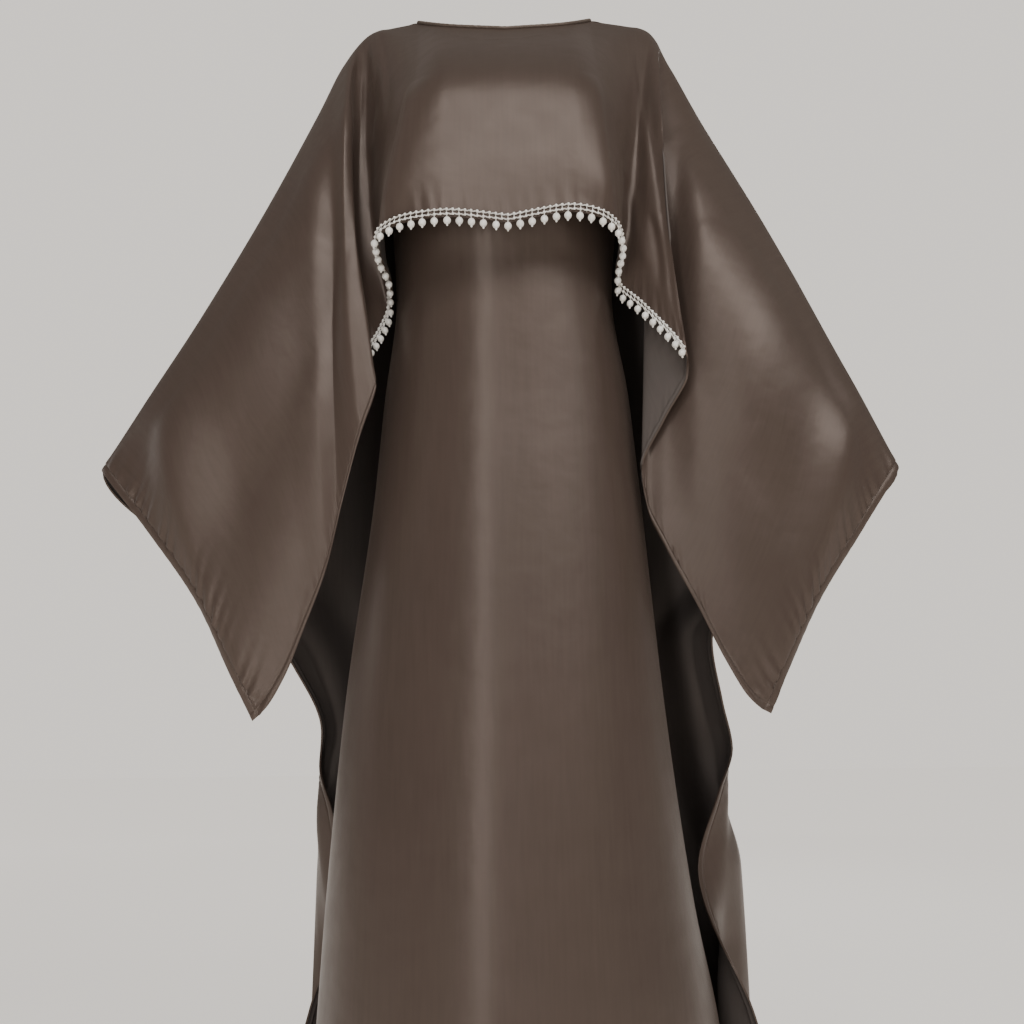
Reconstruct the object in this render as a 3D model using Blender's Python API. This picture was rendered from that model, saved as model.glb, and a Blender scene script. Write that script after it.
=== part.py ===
"""Abaya with a butterfly cape: a slim sleeveless dress under a cape whose front is
edged with pearls. Metres, +Z up, the wearer faces -Y. The origin is the middle of
the shoulder line at the neck, where the garment is carried.

Every cloth piece is a wall of one thickness. Its outer face is worked out from the
fold lines and sections in the tables below, and its inner face lies one wall inside.
"""
import math

import bpy
import numpy as np

WALL = 0.0016          # cloth thickness
SEAM = 0.0003          # gap between two sewn pieces
HEM_Z = -1.440         # dress hem, just over the floor
CAPE_HEM_Z = -1.428    # back cape hem
SIDES = {"left": -1, "right": 1}   # as seen from the front

# Edge of the front neck: (x, y, z) at the centre and a quarter, x counted outwards.
NECK_COLUMNS = ("x", "y", "z")
FRONT_NECK = [(0.000, -0.060, -0.050), (0.072, -0.046, -0.036)]
BACK_NECK = [(0.000, 0.066, -0.018), (0.070, 0.050, -0.012)]

# Line that both cape panels share: neck point, shoulder tip, along the arm to the
# wrist. It lies in one plane that leans forward: y = SEAM_LEAN * z.
LINE_COLUMNS = ("x", "z")
SHOULDER_LINE = {
    "left": [(0.111, 0.000), (0.166, -0.015), (0.202, -0.063), (0.232, -0.134),
             (0.291, -0.264), (0.363, -0.407), (0.419, -0.508), (0.462, -0.585)],
    "right": [(0.107, 0.000), (0.176, -0.017), (0.204, -0.071), (0.235, -0.143),
              (0.306, -0.291), (0.374, -0.448), (0.403, -0.515), (0.436, -0.594)],
}
SEAM_LEAN = 0.085
NECK_POINT, SHOULDER_TIP = 2, 3    # places on the line, counted from the centre front

# Front cape: one row for each fold line, from the centre front out to the wrist.
# "line" is where it leaves the shoulder line, in rows of that line.
FOLD_COLUMNS = ("name", "line", "support", "middle", "hem")
FRONT_FOLDS = {
    "left": [
        ("centre",       0.00, (0.000, -0.163, -0.172), (0.000, -0.180, -0.265), (0.000, -0.182, -0.354)),
        ("quarter",      1.00, (0.070, -0.163, -0.180), (0.068, -0.178, -0.268), (0.066, -0.180, -0.346)),
        ("flat edge",    2.00, (0.104, -0.152, -0.203), (0.110, -0.167, -0.280), (0.111, -0.170, -0.347)),
        ("corner",       2.45, (0.120, -0.126, -0.196), (0.133, -0.143, -0.285), (0.143, -0.143, -0.355)),
        ("side",         2.75, (0.138, -0.092, -0.170), (0.141, -0.108, -0.290), (0.142, -0.116, -0.364)),
        ("return",       3.00, (0.157, -0.066, -0.160), (0.147, -0.074, -0.300), (0.135, -0.082, -0.379)),
        ("recess",       3.15, (0.169, -0.046, -0.150), (0.158, -0.048, -0.310), (0.138, -0.053, -0.402)),
        ("under wing",   3.25, (0.175, -0.045, -0.150), (0.171, -0.052, -0.320), (0.149, -0.064, -0.436)),
        ("pearl end",    3.35, (0.179, -0.049, -0.150), (0.182, -0.066, -0.330), (0.161, -0.081, -0.464)),
        ("hidden turn",  3.45, (0.182, -0.058, -0.152), (0.185, -0.082, -0.335), (0.168, -0.092, -0.486)),
        ("wing fold",    3.60, (0.1815, -0.075, -0.152), (0.171, -0.101, -0.330), (0.147, -0.109, -0.512)),
        ("wing edge",    3.85, (0.188, -0.085, -0.160), (0.181, -0.105, -0.370), (0.161, -0.112, -0.562)),
        ("wing valley",  4.40, (0.205, -0.077, -0.190), (0.196, -0.090, -0.430), (0.187, -0.099, -0.660)),
        ("wing plane",   5.05, (0.228, -0.074, -0.225), (0.214, -0.096, -0.480), (0.200, -0.101, -0.714)),
        ("elbow",        6.00, (0.276, -0.068, -0.325), (0.246, -0.093, -0.570), (0.221, -0.098, -0.770)),
        ("fore arm",     7.00, (0.342, -0.076, -0.455), (0.292, -0.093, -0.655), (0.240, -0.097, -0.818)),
        ("wrist side",   8.00, (0.394, -0.082, -0.552), (0.333, -0.094, -0.705), (0.260, -0.096, -0.852)),
        ("wrist",        9.00, (0.404, -0.070, -0.655), (0.341, -0.083, -0.738), (0.274, -0.095, -0.865)),
    ],
    "right": [
        ("centre",       0.00, (0.000, -0.163, -0.172), (0.000, -0.180, -0.265), (0.000, -0.182, -0.354)),
        ("quarter",      1.00, (0.072, -0.163, -0.180), (0.071, -0.178, -0.266), (0.068, -0.178, -0.341)),
        ("flat edge",    2.00, (0.103, -0.152, -0.202), (0.102, -0.166, -0.280), (0.096, -0.170, -0.343)),
        ("corner",       2.40, (0.117, -0.128, -0.205), (0.118, -0.146, -0.285), (0.119, -0.146, -0.350)),
        ("side",         2.70, (0.131, -0.098, -0.190), (0.126, -0.116, -0.290), (0.125, -0.118, -0.358)),
        ("return",       2.90, (0.146, -0.074, -0.175), (0.132, -0.084, -0.295), (0.123, -0.084, -0.369)),
        ("recess",       3.05, (0.156, -0.066, -0.165), (0.140, -0.074, -0.305), (0.125, -0.070, -0.384)),
        ("rise",         3.25, (0.166, -0.074, -0.165), (0.157, -0.090, -0.325), (0.151, -0.091, -0.419)),
        ("outer fold",   3.45, (0.180, -0.080, -0.170), (0.181, -0.104, -0.330), (0.190, -0.112, -0.478)),
        ("fold return",  3.50, (0.180, -0.072, -0.170), (0.181, -0.094, -0.345), (0.192, -0.102, -0.500)),
        ("under layer",  3.60, (0.169, -0.064, -0.170), (0.167, -0.084, -0.370), (0.169, -0.086, -0.545)),
        ("inner turn",   3.75, (0.161, -0.054, -0.172), (0.155, -0.068, -0.385), (0.144, -0.075, -0.600)),
        ("wing start",   4.00, (0.173, -0.046, -0.180), (0.161, -0.056, -0.400), (0.149, -0.074, -0.642)),
        ("wing fold",    4.40, (0.200, -0.052, -0.205), (0.181, -0.064, -0.440), (0.167, -0.083, -0.688)),
        ("wing plane",   5.10, (0.230, -0.066, -0.250), (0.210, -0.082, -0.510), (0.197, -0.090, -0.751)),
        ("elbow",        6.00, (0.289, -0.068, -0.350), (0.248, -0.090, -0.605), (0.222, -0.094, -0.806)),
        ("fore arm",     7.00, (0.352, -0.076, -0.498), (0.294, -0.093, -0.680), (0.244, -0.096, -0.845)),
        ("wrist side",   8.00, (0.380, -0.082, -0.565), (0.318, -0.094, -0.717), (0.257, -0.096, -0.858)),
        ("wrist",        9.00, (0.387, -0.070, -0.664), (0.325, -0.083, -0.752), (0.268, -0.095, -0.864)),
    ],
}
FRONT_ROWS = 10        # rows of faces between the shoulder line and the hem
FRONT_STEP = 0.0135    # widest column along the hem
ROLL_REACH = 0.055     # how far the cloth reaches over a shoulder or an arm

# Back cape: one row for each level. Down to the wrist a level ends on the arm, below
# it on the free side edge, which folds forward and out again in a cascade.
# Each point is (x, y), x outwards.
BACK_COLUMNS = ("z", "centre", "mid back", "outer back", "blade", "side", "turn", "edge")
BACK_LEVELS = {
    "left": [
        (-0.270, (0.000, 0.122), (0.070, 0.119), (0.140, 0.106), (0.198, 0.082), (0.248, 0.052), (0.279, 0.026), None),
        (-0.420, (0.000, 0.132), (0.085, 0.127), (0.172, 0.108), (0.247, 0.074), (0.315, 0.034), (0.354, 0.006), None),
        (-0.585, (0.000, 0.144), (0.096, 0.136), (0.200, 0.104), (0.297, 0.060), (0.388, 0.008), (0.437, -0.024), None),
        (-0.700, (0.000, 0.153), (0.085, 0.146), (0.168, 0.120), (0.238, 0.084), (0.300, 0.040), (0.328, 0.018), (0.348, 0.000)),
        (-0.805, (0.000, 0.162), (0.072, 0.156), (0.138, 0.136), (0.190, 0.108), (0.232, 0.076), (0.250, 0.058), (0.260, 0.044)),
        (-0.880, (0.000, 0.170), (0.065, 0.166), (0.127, 0.152), (0.180, 0.130), (0.216, 0.106), (0.227, 0.090), (0.232, 0.076)),
        (-0.920, (0.000, 0.174), (0.066, 0.170), (0.130, 0.156), (0.186, 0.134), (0.224, 0.112), (0.235, 0.096), (0.234, 0.080)),
        (-0.972, (0.000, 0.179), (0.070, 0.175), (0.138, 0.160), (0.196, 0.136), (0.232, 0.108), (0.236, 0.082), (0.214, 0.058)),
        (-1.060, (0.000, 0.187), (0.078, 0.182), (0.150, 0.164), (0.212, 0.138), (0.239, 0.106), (0.226, 0.074), (0.200, 0.053)),
        (-1.180, (0.000, 0.198), (0.084, 0.191), (0.162, 0.170), (0.228, 0.136), (0.240, 0.096), (0.206, 0.074), (0.233, 0.040)),
        (-1.300, (0.000, 0.210), (0.088, 0.202), (0.172, 0.178), (0.242, 0.138), (0.247, 0.090), (0.214, 0.058), (0.262, 0.008)),
        (CAPE_HEM_Z, (0.000, 0.222), (0.092, 0.213), (0.182, 0.187), (0.256, 0.142), (0.256, 0.088), (0.224, 0.044), (0.292, -0.018)),
    ],
    "right": [
        (-0.270, (0.000, 0.122), (0.070, 0.119), (0.140, 0.106), (0.200, 0.082), (0.252, 0.052), (0.283, 0.026), None),
        (-0.420, (0.000, 0.132), (0.085, 0.127), (0.170, 0.108), (0.245, 0.074), (0.310, 0.034), (0.346, 0.006), None),
        (-0.594, (0.000, 0.144), (0.094, 0.136), (0.192, 0.104), (0.286, 0.060), (0.369, 0.008), (0.413, -0.024), None),
        (-0.690, (0.000, 0.152), (0.085, 0.145), (0.166, 0.120), (0.234, 0.084), (0.292, 0.038), (0.315, 0.018), (0.332, 0.000)),
        (-0.776, (0.000, 0.160), (0.072, 0.154), (0.134, 0.136), (0.180, 0.110), (0.214, 0.078), (0.228, 0.060), (0.236, 0.045)),
        (-0.850, (0.000, 0.166), (0.070, 0.161), (0.134, 0.146), (0.188, 0.124), (0.227, 0.100), (0.241, 0.084), (0.249, 0.068)),
        (-0.905, (0.000, 0.171), (0.070, 0.168), (0.137, 0.155), (0.196, 0.136), (0.240, 0.116), (0.257, 0.100), (0.261, 0.082)),
        (-0.955, (0.000, 0.176), (0.073, 0.172), (0.144, 0.158), (0.205, 0.137), (0.247, 0.110), (0.252, 0.080), (0.236, 0.050)),
        (-1.040, (0.000, 0.184), (0.082, 0.179), (0.160, 0.162), (0.230, 0.132), (0.265, 0.090), (0.240, 0.048), (0.203, 0.016)),
        (-1.180, (0.000, 0.198), (0.090, 0.191), (0.176, 0.168), (0.250, 0.130), (0.264, 0.072), (0.220, 0.022), (0.252, -0.020)),
        (-1.300, (0.000, 0.210), (0.094, 0.202), (0.184, 0.176), (0.262, 0.132), (0.266, 0.068), (0.224, 0.012), (0.276, -0.042)),
        (CAPE_HEM_Z, (0.000, 0.222), (0.098, 0.213), (0.192, 0.185), (0.274, 0.136), (0.272, 0.064), (0.232, 0.002), (0.302, -0.060)),
    ],
}
BACK_YOKE = [(0.000, 0.106, -0.120), (0.060, 0.104, -0.118), (0.118, 0.094, -0.120),
             (0.160, 0.076, -0.130), (0.200, 0.052, -0.150)]   # over the shoulder blades
BACK_SPANS = 3         # columns of faces between two columns of the table
FLUTES = 3             # soft folds across each half of the back
FLUTE_DEPTH = 0.018    # at the hem
# Heights of the sections under the yoke. None is the wrist of each side.
SECTION_ROWS = (-0.345, -0.420, -0.505, None, -0.650, -0.715, -0.776, -0.812, -0.850, -0.885, -0.920,
                -0.955, -0.995, -1.040, -1.105, -1.180, -1.265, -1.350, CAPE_HEM_Z)

# Dress: one row for each level, half widths to the two sides, depths front and back.
DRESS_COLUMNS = ("z", "left", "right", "front", "back")
DRESS_LEVELS = [
    (-0.190, 0.140, 0.134, 0.143, 0.104),
    (-0.250, 0.142, 0.136, 0.158, 0.100),
    (-0.300, 0.138, 0.128, 0.152, 0.094),
    (-0.380, 0.134, 0.122, 0.128, 0.090),
    (-0.500, 0.147, 0.138, 0.124, 0.102),
    (-0.620, 0.158, 0.148, 0.130, 0.118),
    (-0.850, 0.188, 0.166, 0.150, 0.130),
    (-1.060, 0.206, 0.190, 0.172, 0.146),
    (-1.187, 0.214, 0.212, 0.186, 0.156),
    (HEM_Z,  0.232, 0.232, 0.210, 0.176),
]
DRESS_SIDE_Y = -0.012  # side seams
DRESS_ROUND = 0.86     # 1 is an ellipse, less is squarer across the front
# Top edge of the dress: share of the way from the centre to the side seam, the edge
# point and a point between it and the level at DRESS_LEVELS[1], x outwards.
TOP_COLUMNS = ("share", "front edge", "front between", "back edge", "back between")
DRESS_TOP = [
    (0.00, (0.000, -0.074, -0.080), (0.000, -0.128, -0.155), (0.000, 0.070, -0.055), (0.000, 0.094, -0.140)),
    (0.30, (0.062, -0.062, -0.068), (0.062, -0.122, -0.155), (0.062, 0.058, -0.047), (0.062, 0.090, -0.140)),
    (0.52, (0.116,  0.000, -0.006), (0.103, -0.068, -0.110), (0.116, 0.000, -0.006), (0.106, 0.060, -0.110)),
    (0.68, (0.150,  0.000, -0.017), (0.124, -0.044, -0.110), (0.150, 0.000, -0.017), (0.130, 0.044, -0.110)),
    (0.80, (0.136, -0.036, -0.105), (0.133, -0.062, -0.185), (0.138, 0.034, -0.105), (0.136, 0.052, -0.180)),
    (0.91, (0.137, -0.032, -0.166), (0.137, -0.042, -0.210), (0.139, 0.024, -0.160), (0.138, 0.030, -0.205)),
    (1.00, (0.137, -0.012, -0.186), (0.138, -0.012, -0.218), (0.137, -0.012, -0.186), (0.138, -0.012, -0.218)),
]
STRAP_DROP = 1.15 * WALL + 0.0009
DRESS_TOP_ROWS = 4
DRESS_ROWS = 11
DRESS_SHARES = (0.0, 0.10, 0.20, 0.30, 0.41, 0.52, 0.60, 0.68, 0.80, 0.91, 1.0)  # columns
STRAP = {0.52: 2.06, 0.60: 2.25, 0.68: 2.44}   # shares that hang under the shoulder line, and where

BINDING_RADIUS = 0.0023
PEARLS = 52            # large pearls along the front hem
PEARL_RADIUS = 0.0040
PEARL_DROP = 0.0050    # pearl centre below the hem
STRIP_HEIGHT = 0.0085
STRIP_THICK = 0.0020
STRIP_OFF = 0.0006     # clear of the cloth
PEARL_REACH = {"left": "pearl end", "right": "outer fold"}

SATIN = dict(color=(0.105, 0.078, 0.064), roughness=0.38, sheen=0.35)
BINDING = dict(color=(0.085, 0.062, 0.052), roughness=0.42, sheen=0.3)
PEARL = dict(color=(0.80, 0.77, 0.71), roughness=0.22, sheen=0.0)


def unit(v):
    v = np.asarray(v, float)
    return v / np.maximum(np.linalg.norm(v, axis=-1, keepdims=True), 1e-12)


def smooth(knots, values, at):
    """Monotone cubic through the rows of values: it never swings past a fold."""
    knots, values, at = np.asarray(knots, float), np.asarray(values, float), np.asarray(at, float)
    values = values.reshape(len(knots), -1)
    step = np.diff(knots)[:, None]
    slope = np.diff(values, axis=0) / step
    tangent = np.zeros_like(values)
    tangent[0], tangent[-1] = slope[0], slope[-1]
    before, after = slope[:-1], slope[1:]
    same = before * after > 0
    w1, w2 = 2 * step[1:] + step[:-1], step[1:] + 2 * step[:-1]
    mean = (w1 + w2) / (w1 / np.where(same, before, 1) + w2 / np.where(same, after, 1))
    tangent[1:-1] = np.where(same, mean, 0.0)
    i = np.clip(np.searchsorted(knots, at, side="right") - 1, 0, len(knots) - 2)
    h = step[i]
    s = ((at - knots[i]) / h[:, 0])[:, None]
    return ((1 + 2 * s) * (1 - s) ** 2 * values[i] + s * (1 - s) ** 2 * h * tangent[i]
            + s * s * (3 - 2 * s) * values[i + 1] + s * s * (s - 1) * h * tangent[i + 1])


def shoulder_line(side, at):
    """Points of the shared line: 0 is the centre front, 2 the neck, 3 the shoulder tip."""
    rows = np.array(SHOULDER_LINE[side])
    at = np.asarray(at, float)
    start = np.array([*FRONT_NECK, (rows[0, 0], 0.0, rows[0, 1])])
    neck = smooth(range(NECK_POINT + 1), start, np.minimum(at, NECK_POINT))
    arm = smooth(range(NECK_POINT, NECK_POINT + len(rows)), rows, np.maximum(at, NECK_POINT))
    arm = np.stack([arm[:, 0], SEAM_LEAN * arm[:, 1], arm[:, 1]], axis=-1)
    return np.where((at < NECK_POINT)[:, None], neck, arm)


def fall(points, roll, at):
    """A smooth line through a few points. It leaves the first one towards the second
    (roll 0) or straight over the edge of the shoulder or arm, along y (roll 1 or -1)."""
    points = np.asarray(points, float)
    gaps = np.linalg.norm(np.diff(points, axis=0), axis=1)
    knots = np.concatenate([[0], np.cumsum(gaps)])
    slope = np.diff(points, axis=0) / gaps[:, None]
    tangent = np.empty_like(points)
    over = np.array([0.0, math.copysign(min(1.0, ROLL_REACH / gaps[0]), roll), 0.0])
    tangent[0] = slope[0] * (1 - abs(roll)) + over * abs(roll)
    tangent[-1] = slope[-1]
    for k in range(1, len(points) - 1):
        tangent[k] = (slope[k - 1] * gaps[k] + slope[k] * gaps[k - 1]) / (gaps[k] + gaps[k - 1])
    out = []
    for w in np.asarray(at) * knots[-1]:
        k = min(int(np.searchsorted(knots, w, side="right")) - 1, len(gaps) - 1)
        h = gaps[k]
        s = (w - knots[k]) / h
        out.append((1 + 2 * s) * (1 - s) ** 2 * points[k] + s * (1 - s) ** 2 * h * tangent[k]
                   + s * s * (3 - 2 * s) * points[k + 1] + s * s * (s - 1) * h * tangent[k + 1])
    return np.array(out)


def outward(points, side):
    return np.asarray(points, float) * (SIDES[side], 1, 1)


def grid_normals(grid):
    """Normals of a grid of points, pointing to the outer side of the cloth."""
    down = np.gradient(grid, axis=0)
    across = np.gradient(grid, axis=1)
    normals = unit(np.cross(down, across))
    for _ in range(2):                 # eased across tight folds
        eased = normals.copy()
        eased[:, 1:-1] += 0.5 * (normals[:, :-2] + normals[:, 2:])
        normals = unit(eased)
    return normals


def add_object(name, verts, faces, material, smooth_angle=40):
    mesh = bpy.data.meshes.new(name)
    mesh.from_pydata([tuple(map(float, v)) for v in verts], [], [tuple(f) for f in faces])
    mesh.validate()
    mesh.update()
    volume = 0.0
    for poly in mesh.polygons:
        a, *rest = [np.array(mesh.vertices[i].co) for i in poly.vertices]
        for b, c in zip(rest, rest[1:]):
            volume += float(np.dot(a, np.cross(b, c)))
    if volume < 0:
        mesh.flip_normals()
    mesh.shade_smooth()
    mesh.set_sharp_from_angle(angle=math.radians(smooth_angle))
    obj = bpy.data.objects.new(name, mesh)
    obj.data.materials.append(material)
    bpy.context.scene.collection.objects.link(obj)
    return obj


def cloth_wall(name, outer, normals, material):
    """A closed wall from a grid of outer points and the normals at them."""
    rows, cols = outer.shape[:2]
    inner = outer - normals * WALL
    verts = np.concatenate([outer.reshape(-1, 3), inner.reshape(-1, 3)])
    n = rows * cols

    def at(r, c):
        return r * cols + c
    faces = []
    for r in range(rows - 1):
        for c in range(cols - 1):
            a, b, d, e = at(r, c), at(r + 1, c), at(r + 1, c + 1), at(r, c + 1)
            # both sides take the same, shorter diagonal, so the wall keeps its thickness
            if np.linalg.norm(verts[a] - verts[d]) <= np.linalg.norm(verts[b] - verts[e]):
                halves = ((a, b, d), (a, d, e))
            else:
                halves = ((a, b, e), (b, d, e))
            for i, j, k in halves:
                faces += [(i, j, k), (n + i, n + k, n + j)]
    rim = ([at(0, c) for c in range(cols)] + [at(r, cols - 1) for r in range(1, rows)]
           + [at(rows - 1, c) for c in range(cols - 2, -1, -1)] + [at(r, 0) for r in range(rows - 2, 0, -1)])
    for a, b in zip(rim, rim[1:] + rim[:1]):
        faces.append((b, a, n + a, n + b)[::-1])
    return add_object(name, verts, faces, material)


def level_seam(normals, rows, cols, lean=0.0):
    """Turns the wall's edge at a seam into the seam's own plane, y = lean * z."""
    across = unit(np.array([0.0, 1.0, -lean]))
    edge = normals[rows, cols]
    normals[rows, cols] = unit(edge - (edge @ across)[..., None] * across)


def front_side(side):
    """Columns of one half of the front cape, centre to wrist, and each one's station."""
    table = FRONT_FOLDS[side]
    line = [row[1] for row in table]
    support, middle, hem = (np.array([row[k] for row in table]) for k in (2, 3, 4))
    stations = [0.0]
    for k in range(len(table) - 1):
        gap = np.linalg.norm(hem[k + 1] - hem[k])
        spans = max(1, math.ceil(gap / FRONT_STEP))
        if gap > 0.045:
            spans = math.ceil(gap / (1.6 * FRONT_STEP))
        stations += [k + (j + 1) / spans for j in range(spans)]
    stations = np.array(stations)
    index = np.arange(len(table))
    top = shoulder_line(side, smooth(index, line, stations)[:, 0])
    sup, mid, end = (smooth(index, part, stations) for part in (support, middle, hem))
    return stations, smooth(index, line, stations)[:, 0], top, sup, mid, end


def front_cape():
    """The front panel as a grid: rows from the shoulder line to the hem."""
    share = np.linspace(0, 1, FRONT_ROWS + 1) ** 1.12
    halves = {}
    for side in SIDES:
        stations, line, top, sup, mid, end = front_side(side)
        cols = []
        for at, t, s, m, h in zip(line, top, sup, mid, end):
            t = t - (0, SEAM / 2, 0)
            roll = -float(np.clip((at - NECK_POINT) / 0.8, 0, 1))
            cols.append(outward(fall([t, s, m, h], roll, share), side))
        halves[side] = (stations, cols)
    left, right = halves["left"], halves["right"]
    grid = np.stack(left[1][::-1] + right[1][1:], axis=1)
    station = np.concatenate([-left[0][::-1], right[0][1:]])
    return grid, station


def back_side(side, share_q, yoke_rows):
    """Sections of one half of the back cape from the shoulder line to the hem."""
    levels = BACK_LEVELS[side]
    line = np.array(SHOULDER_LINE[side])
    z_line = line[1:, 1]
    row_of = SHOULDER_TIP + np.arange(len(z_line), dtype=float)

    def arm_at(z):
        return smooth(-z_line, row_of, [-z])[0, 0]
    zs = [row[0] for row in levels]
    fixed = []
    for row in levels:
        z = row[0]
        pts = [(x, y, z) for x, y in row[1:-1]]
        if row[-1] is None:
            end = shoulder_line(side, [arm_at(z)])[0] + (0, SEAM / 2, 0)
            pts.append(tuple(end))
        else:
            pts.append((*row[-1], z))
        fixed.append(pts)
    fixed = np.array(fixed)                                  # level, station, xyz
    index = np.arange(fixed.shape[1])
    # the yoke: from the neck and shoulder down to the first level
    at_line = [None, None, 2.0, 2.26, 2.51, 2.75, 3.0]
    top = [BACK_NECK[0], BACK_NECK[1]] + [tuple(shoulder_line(side, [a])[0] + (0, SEAM / 2, 0)) for a in at_line[2:]]
    rows = []
    share_v = np.linspace(0, 1, yoke_rows + 1)
    arm_rows = np.linspace(3.0, arm_at(zs[0]), yoke_rows + 1)
    yoke = []
    for k in range(5):
        pts = [top[k], BACK_YOKE[k], fixed[0][k]]
        yoke.append(fall(pts, (0, 0, 0.3, 0.8, 1)[k], share_v))
    arm = shoulder_line(side, arm_rows) + (0, SEAM / 2, 0)
    turn = fall([top[5], arm[yoke_rows // 2] + (-0.006, 0.030, -0.006), fixed[0][5]], 1, share_v)
    for r in range(yoke_rows + 1):
        pts = np.array([yoke[k][r] for k in range(5)] + [turn[r], arm[r]])
        rows.append(pts)
    # below it: level sections
    wrist = z_line[-1]
    z_rows = [wrist if z is None else z for z in SECTION_ROWS]
    flat = smooth([-z for z in zs], fixed.reshape(len(zs), -1), [-z for z in z_rows])
    for z, pts in zip(z_rows, flat.reshape(len(z_rows), -1, 3)):
        if z >= wrist:
            pts[-1] = shoulder_line(side, [arm_at(z)])[0] + (0, SEAM / 2, 0)
        rows.append(pts)
    middle_wrist = np.mean([SHOULDER_LINE[s][-1][1] for s in SIDES])
    out = []
    for r, pts in enumerate(rows):
        sec = smooth(index, pts, share_q * index[-1])
        depth = FLUTE_DEPTH * np.clip((-sec[:, 2] - 0.30) / (-CAPE_HEM_Z - 0.30), 0, 1) ** 1.3
        wave = np.cos(2 * math.pi * FLUTES * share_q * 1.35) * np.clip((0.72 - share_q) / 0.15, 0, 1)
        sec[:, 1] += depth * wave
        if abs(sec[0, 2] - wrist) < 1e-6:              # both wrists meet at one height behind
            sec[:, 2] = middle_wrist + (wrist - middle_wrist) * share_q
        out.append(outward(sec, side))
    return out


def back_cape(yoke_rows=5):
    share_q = np.linspace(0, 1, 6 * BACK_SPANS + 1)
    left = back_side("left", share_q, yoke_rows)
    right = back_side("right", share_q, yoke_rows)
    return np.stack([np.concatenate([a[::-1], b[1:]]) for a, b in zip(left, right)])


def dress_section(level, angle, face):
    """Point of the dress at a level, by the angle from the centre to the side seam."""
    z, left, right, front, back = level
    width = left if angle < 0 else right
    depth = front if face < 0 else back
    x = math.copysign(width * abs(math.sin(angle)) ** DRESS_ROUND, angle)
    y = DRESS_SIDE_Y + (face * depth - DRESS_SIDE_Y) * math.cos(angle)
    return np.array([x, y, z])


def dress_panel(face):
    """Front (face -1) or back (face +1) panel of the dress, side seam to side seam."""
    top = np.array([row[0] for row in DRESS_TOP])
    edge_col, mid_col = (1, 2) if face < 0 else (3, 4)
    edges = smooth(top, [row[edge_col] for row in DRESS_TOP], DRESS_SHARES)
    mids = smooth(top, [row[mid_col] for row in DRESS_TOP], DRESS_SHARES)
    z = np.array([row[0] for row in DRESS_LEVELS])
    low = np.linspace(-DRESS_LEVELS[1][0], -HEM_Z, DRESS_ROWS + 1)
    levels = smooth(-z, DRESS_LEVELS, low)
    last = len(DRESS_SHARES) - 1
    cols = []
    for side, order in (("left", range(last, 0, -1)), ("right", range(last + 1))):
        sign = SIDES[side]
        for k in order:
            share = DRESS_SHARES[k]
            body = np.array([dress_section(level, sign * share * math.pi / 2, face) for level in levels])
            edge, mid = edges[k] * (sign, 1, 1), mids[k] * (sign, 1, 1)
            if share in STRAP:                        # seated under the cape's shoulder
                at = shoulder_line(side, [STRAP[share]])[0]
                edge = np.array([sign * at[0], at[1], at[2] - STRAP_DROP])
            if k == last:                             # the side seam is one straight line
                edge[0] = mid[0] = body[0, 0]
            upper = fall([edge, mid, body[0]], 0, np.linspace(0, 1, DRESS_TOP_ROWS + 1))[:-1]
            cols.append(np.concatenate([upper, body]) + (0, face * SEAM / 2, 0))
    return np.stack(cols, axis=1)


def tube(name, path, radius, sides, material):
    """A closed ring of cord along a loop of points."""
    count = len(path)
    ahead = unit(np.roll(path, -1, 0) - np.roll(path, 1, 0))
    up = np.tile((0.0, 0.0, 1.0), (count, 1))
    across = unit(np.cross(ahead, up))
    up = np.cross(across, ahead)
    verts, faces = [], []
    for p, a, u in zip(path, across, up):
        for s in range(sides):
            turn = 2 * math.pi * (s + 0.5) / sides
            verts.append(p + radius * (math.cos(turn) * a + math.sin(turn) * u))
    for i in range(count):
        j = (i + 1) % count
        for s in range(sides):
            t = (s + 1) % sides
            faces.append((i * sides + s, i * sides + t, j * sides + t, j * sides + s))
    return add_object(name, verts, faces, material)


def neck_loop(front, station):
    """Points just over the neck edges of both cape panels, round once."""
    keep = np.abs(station) <= NECK_POINT + 1e-6
    fore = front[0, keep]
    neck = np.array(BACK_NECK[::-1])
    back = []
    for side, order in (("right", 1), ("left", -1)):
        end = shoulder_line(side, [NECK_POINT])[0]
        pts = np.array([end, neck[0], neck[1]])
        path = outward(smooth(range(3), pts, np.linspace(0, 2, 9)), side)
        back += list(path[1:] if order > 0 else path[::-1][1:-1])
    loop = np.array(list(fore) + back)
    return loop + (0, 0, BINDING_RADIUS + SEAM + 0.0008)


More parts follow.
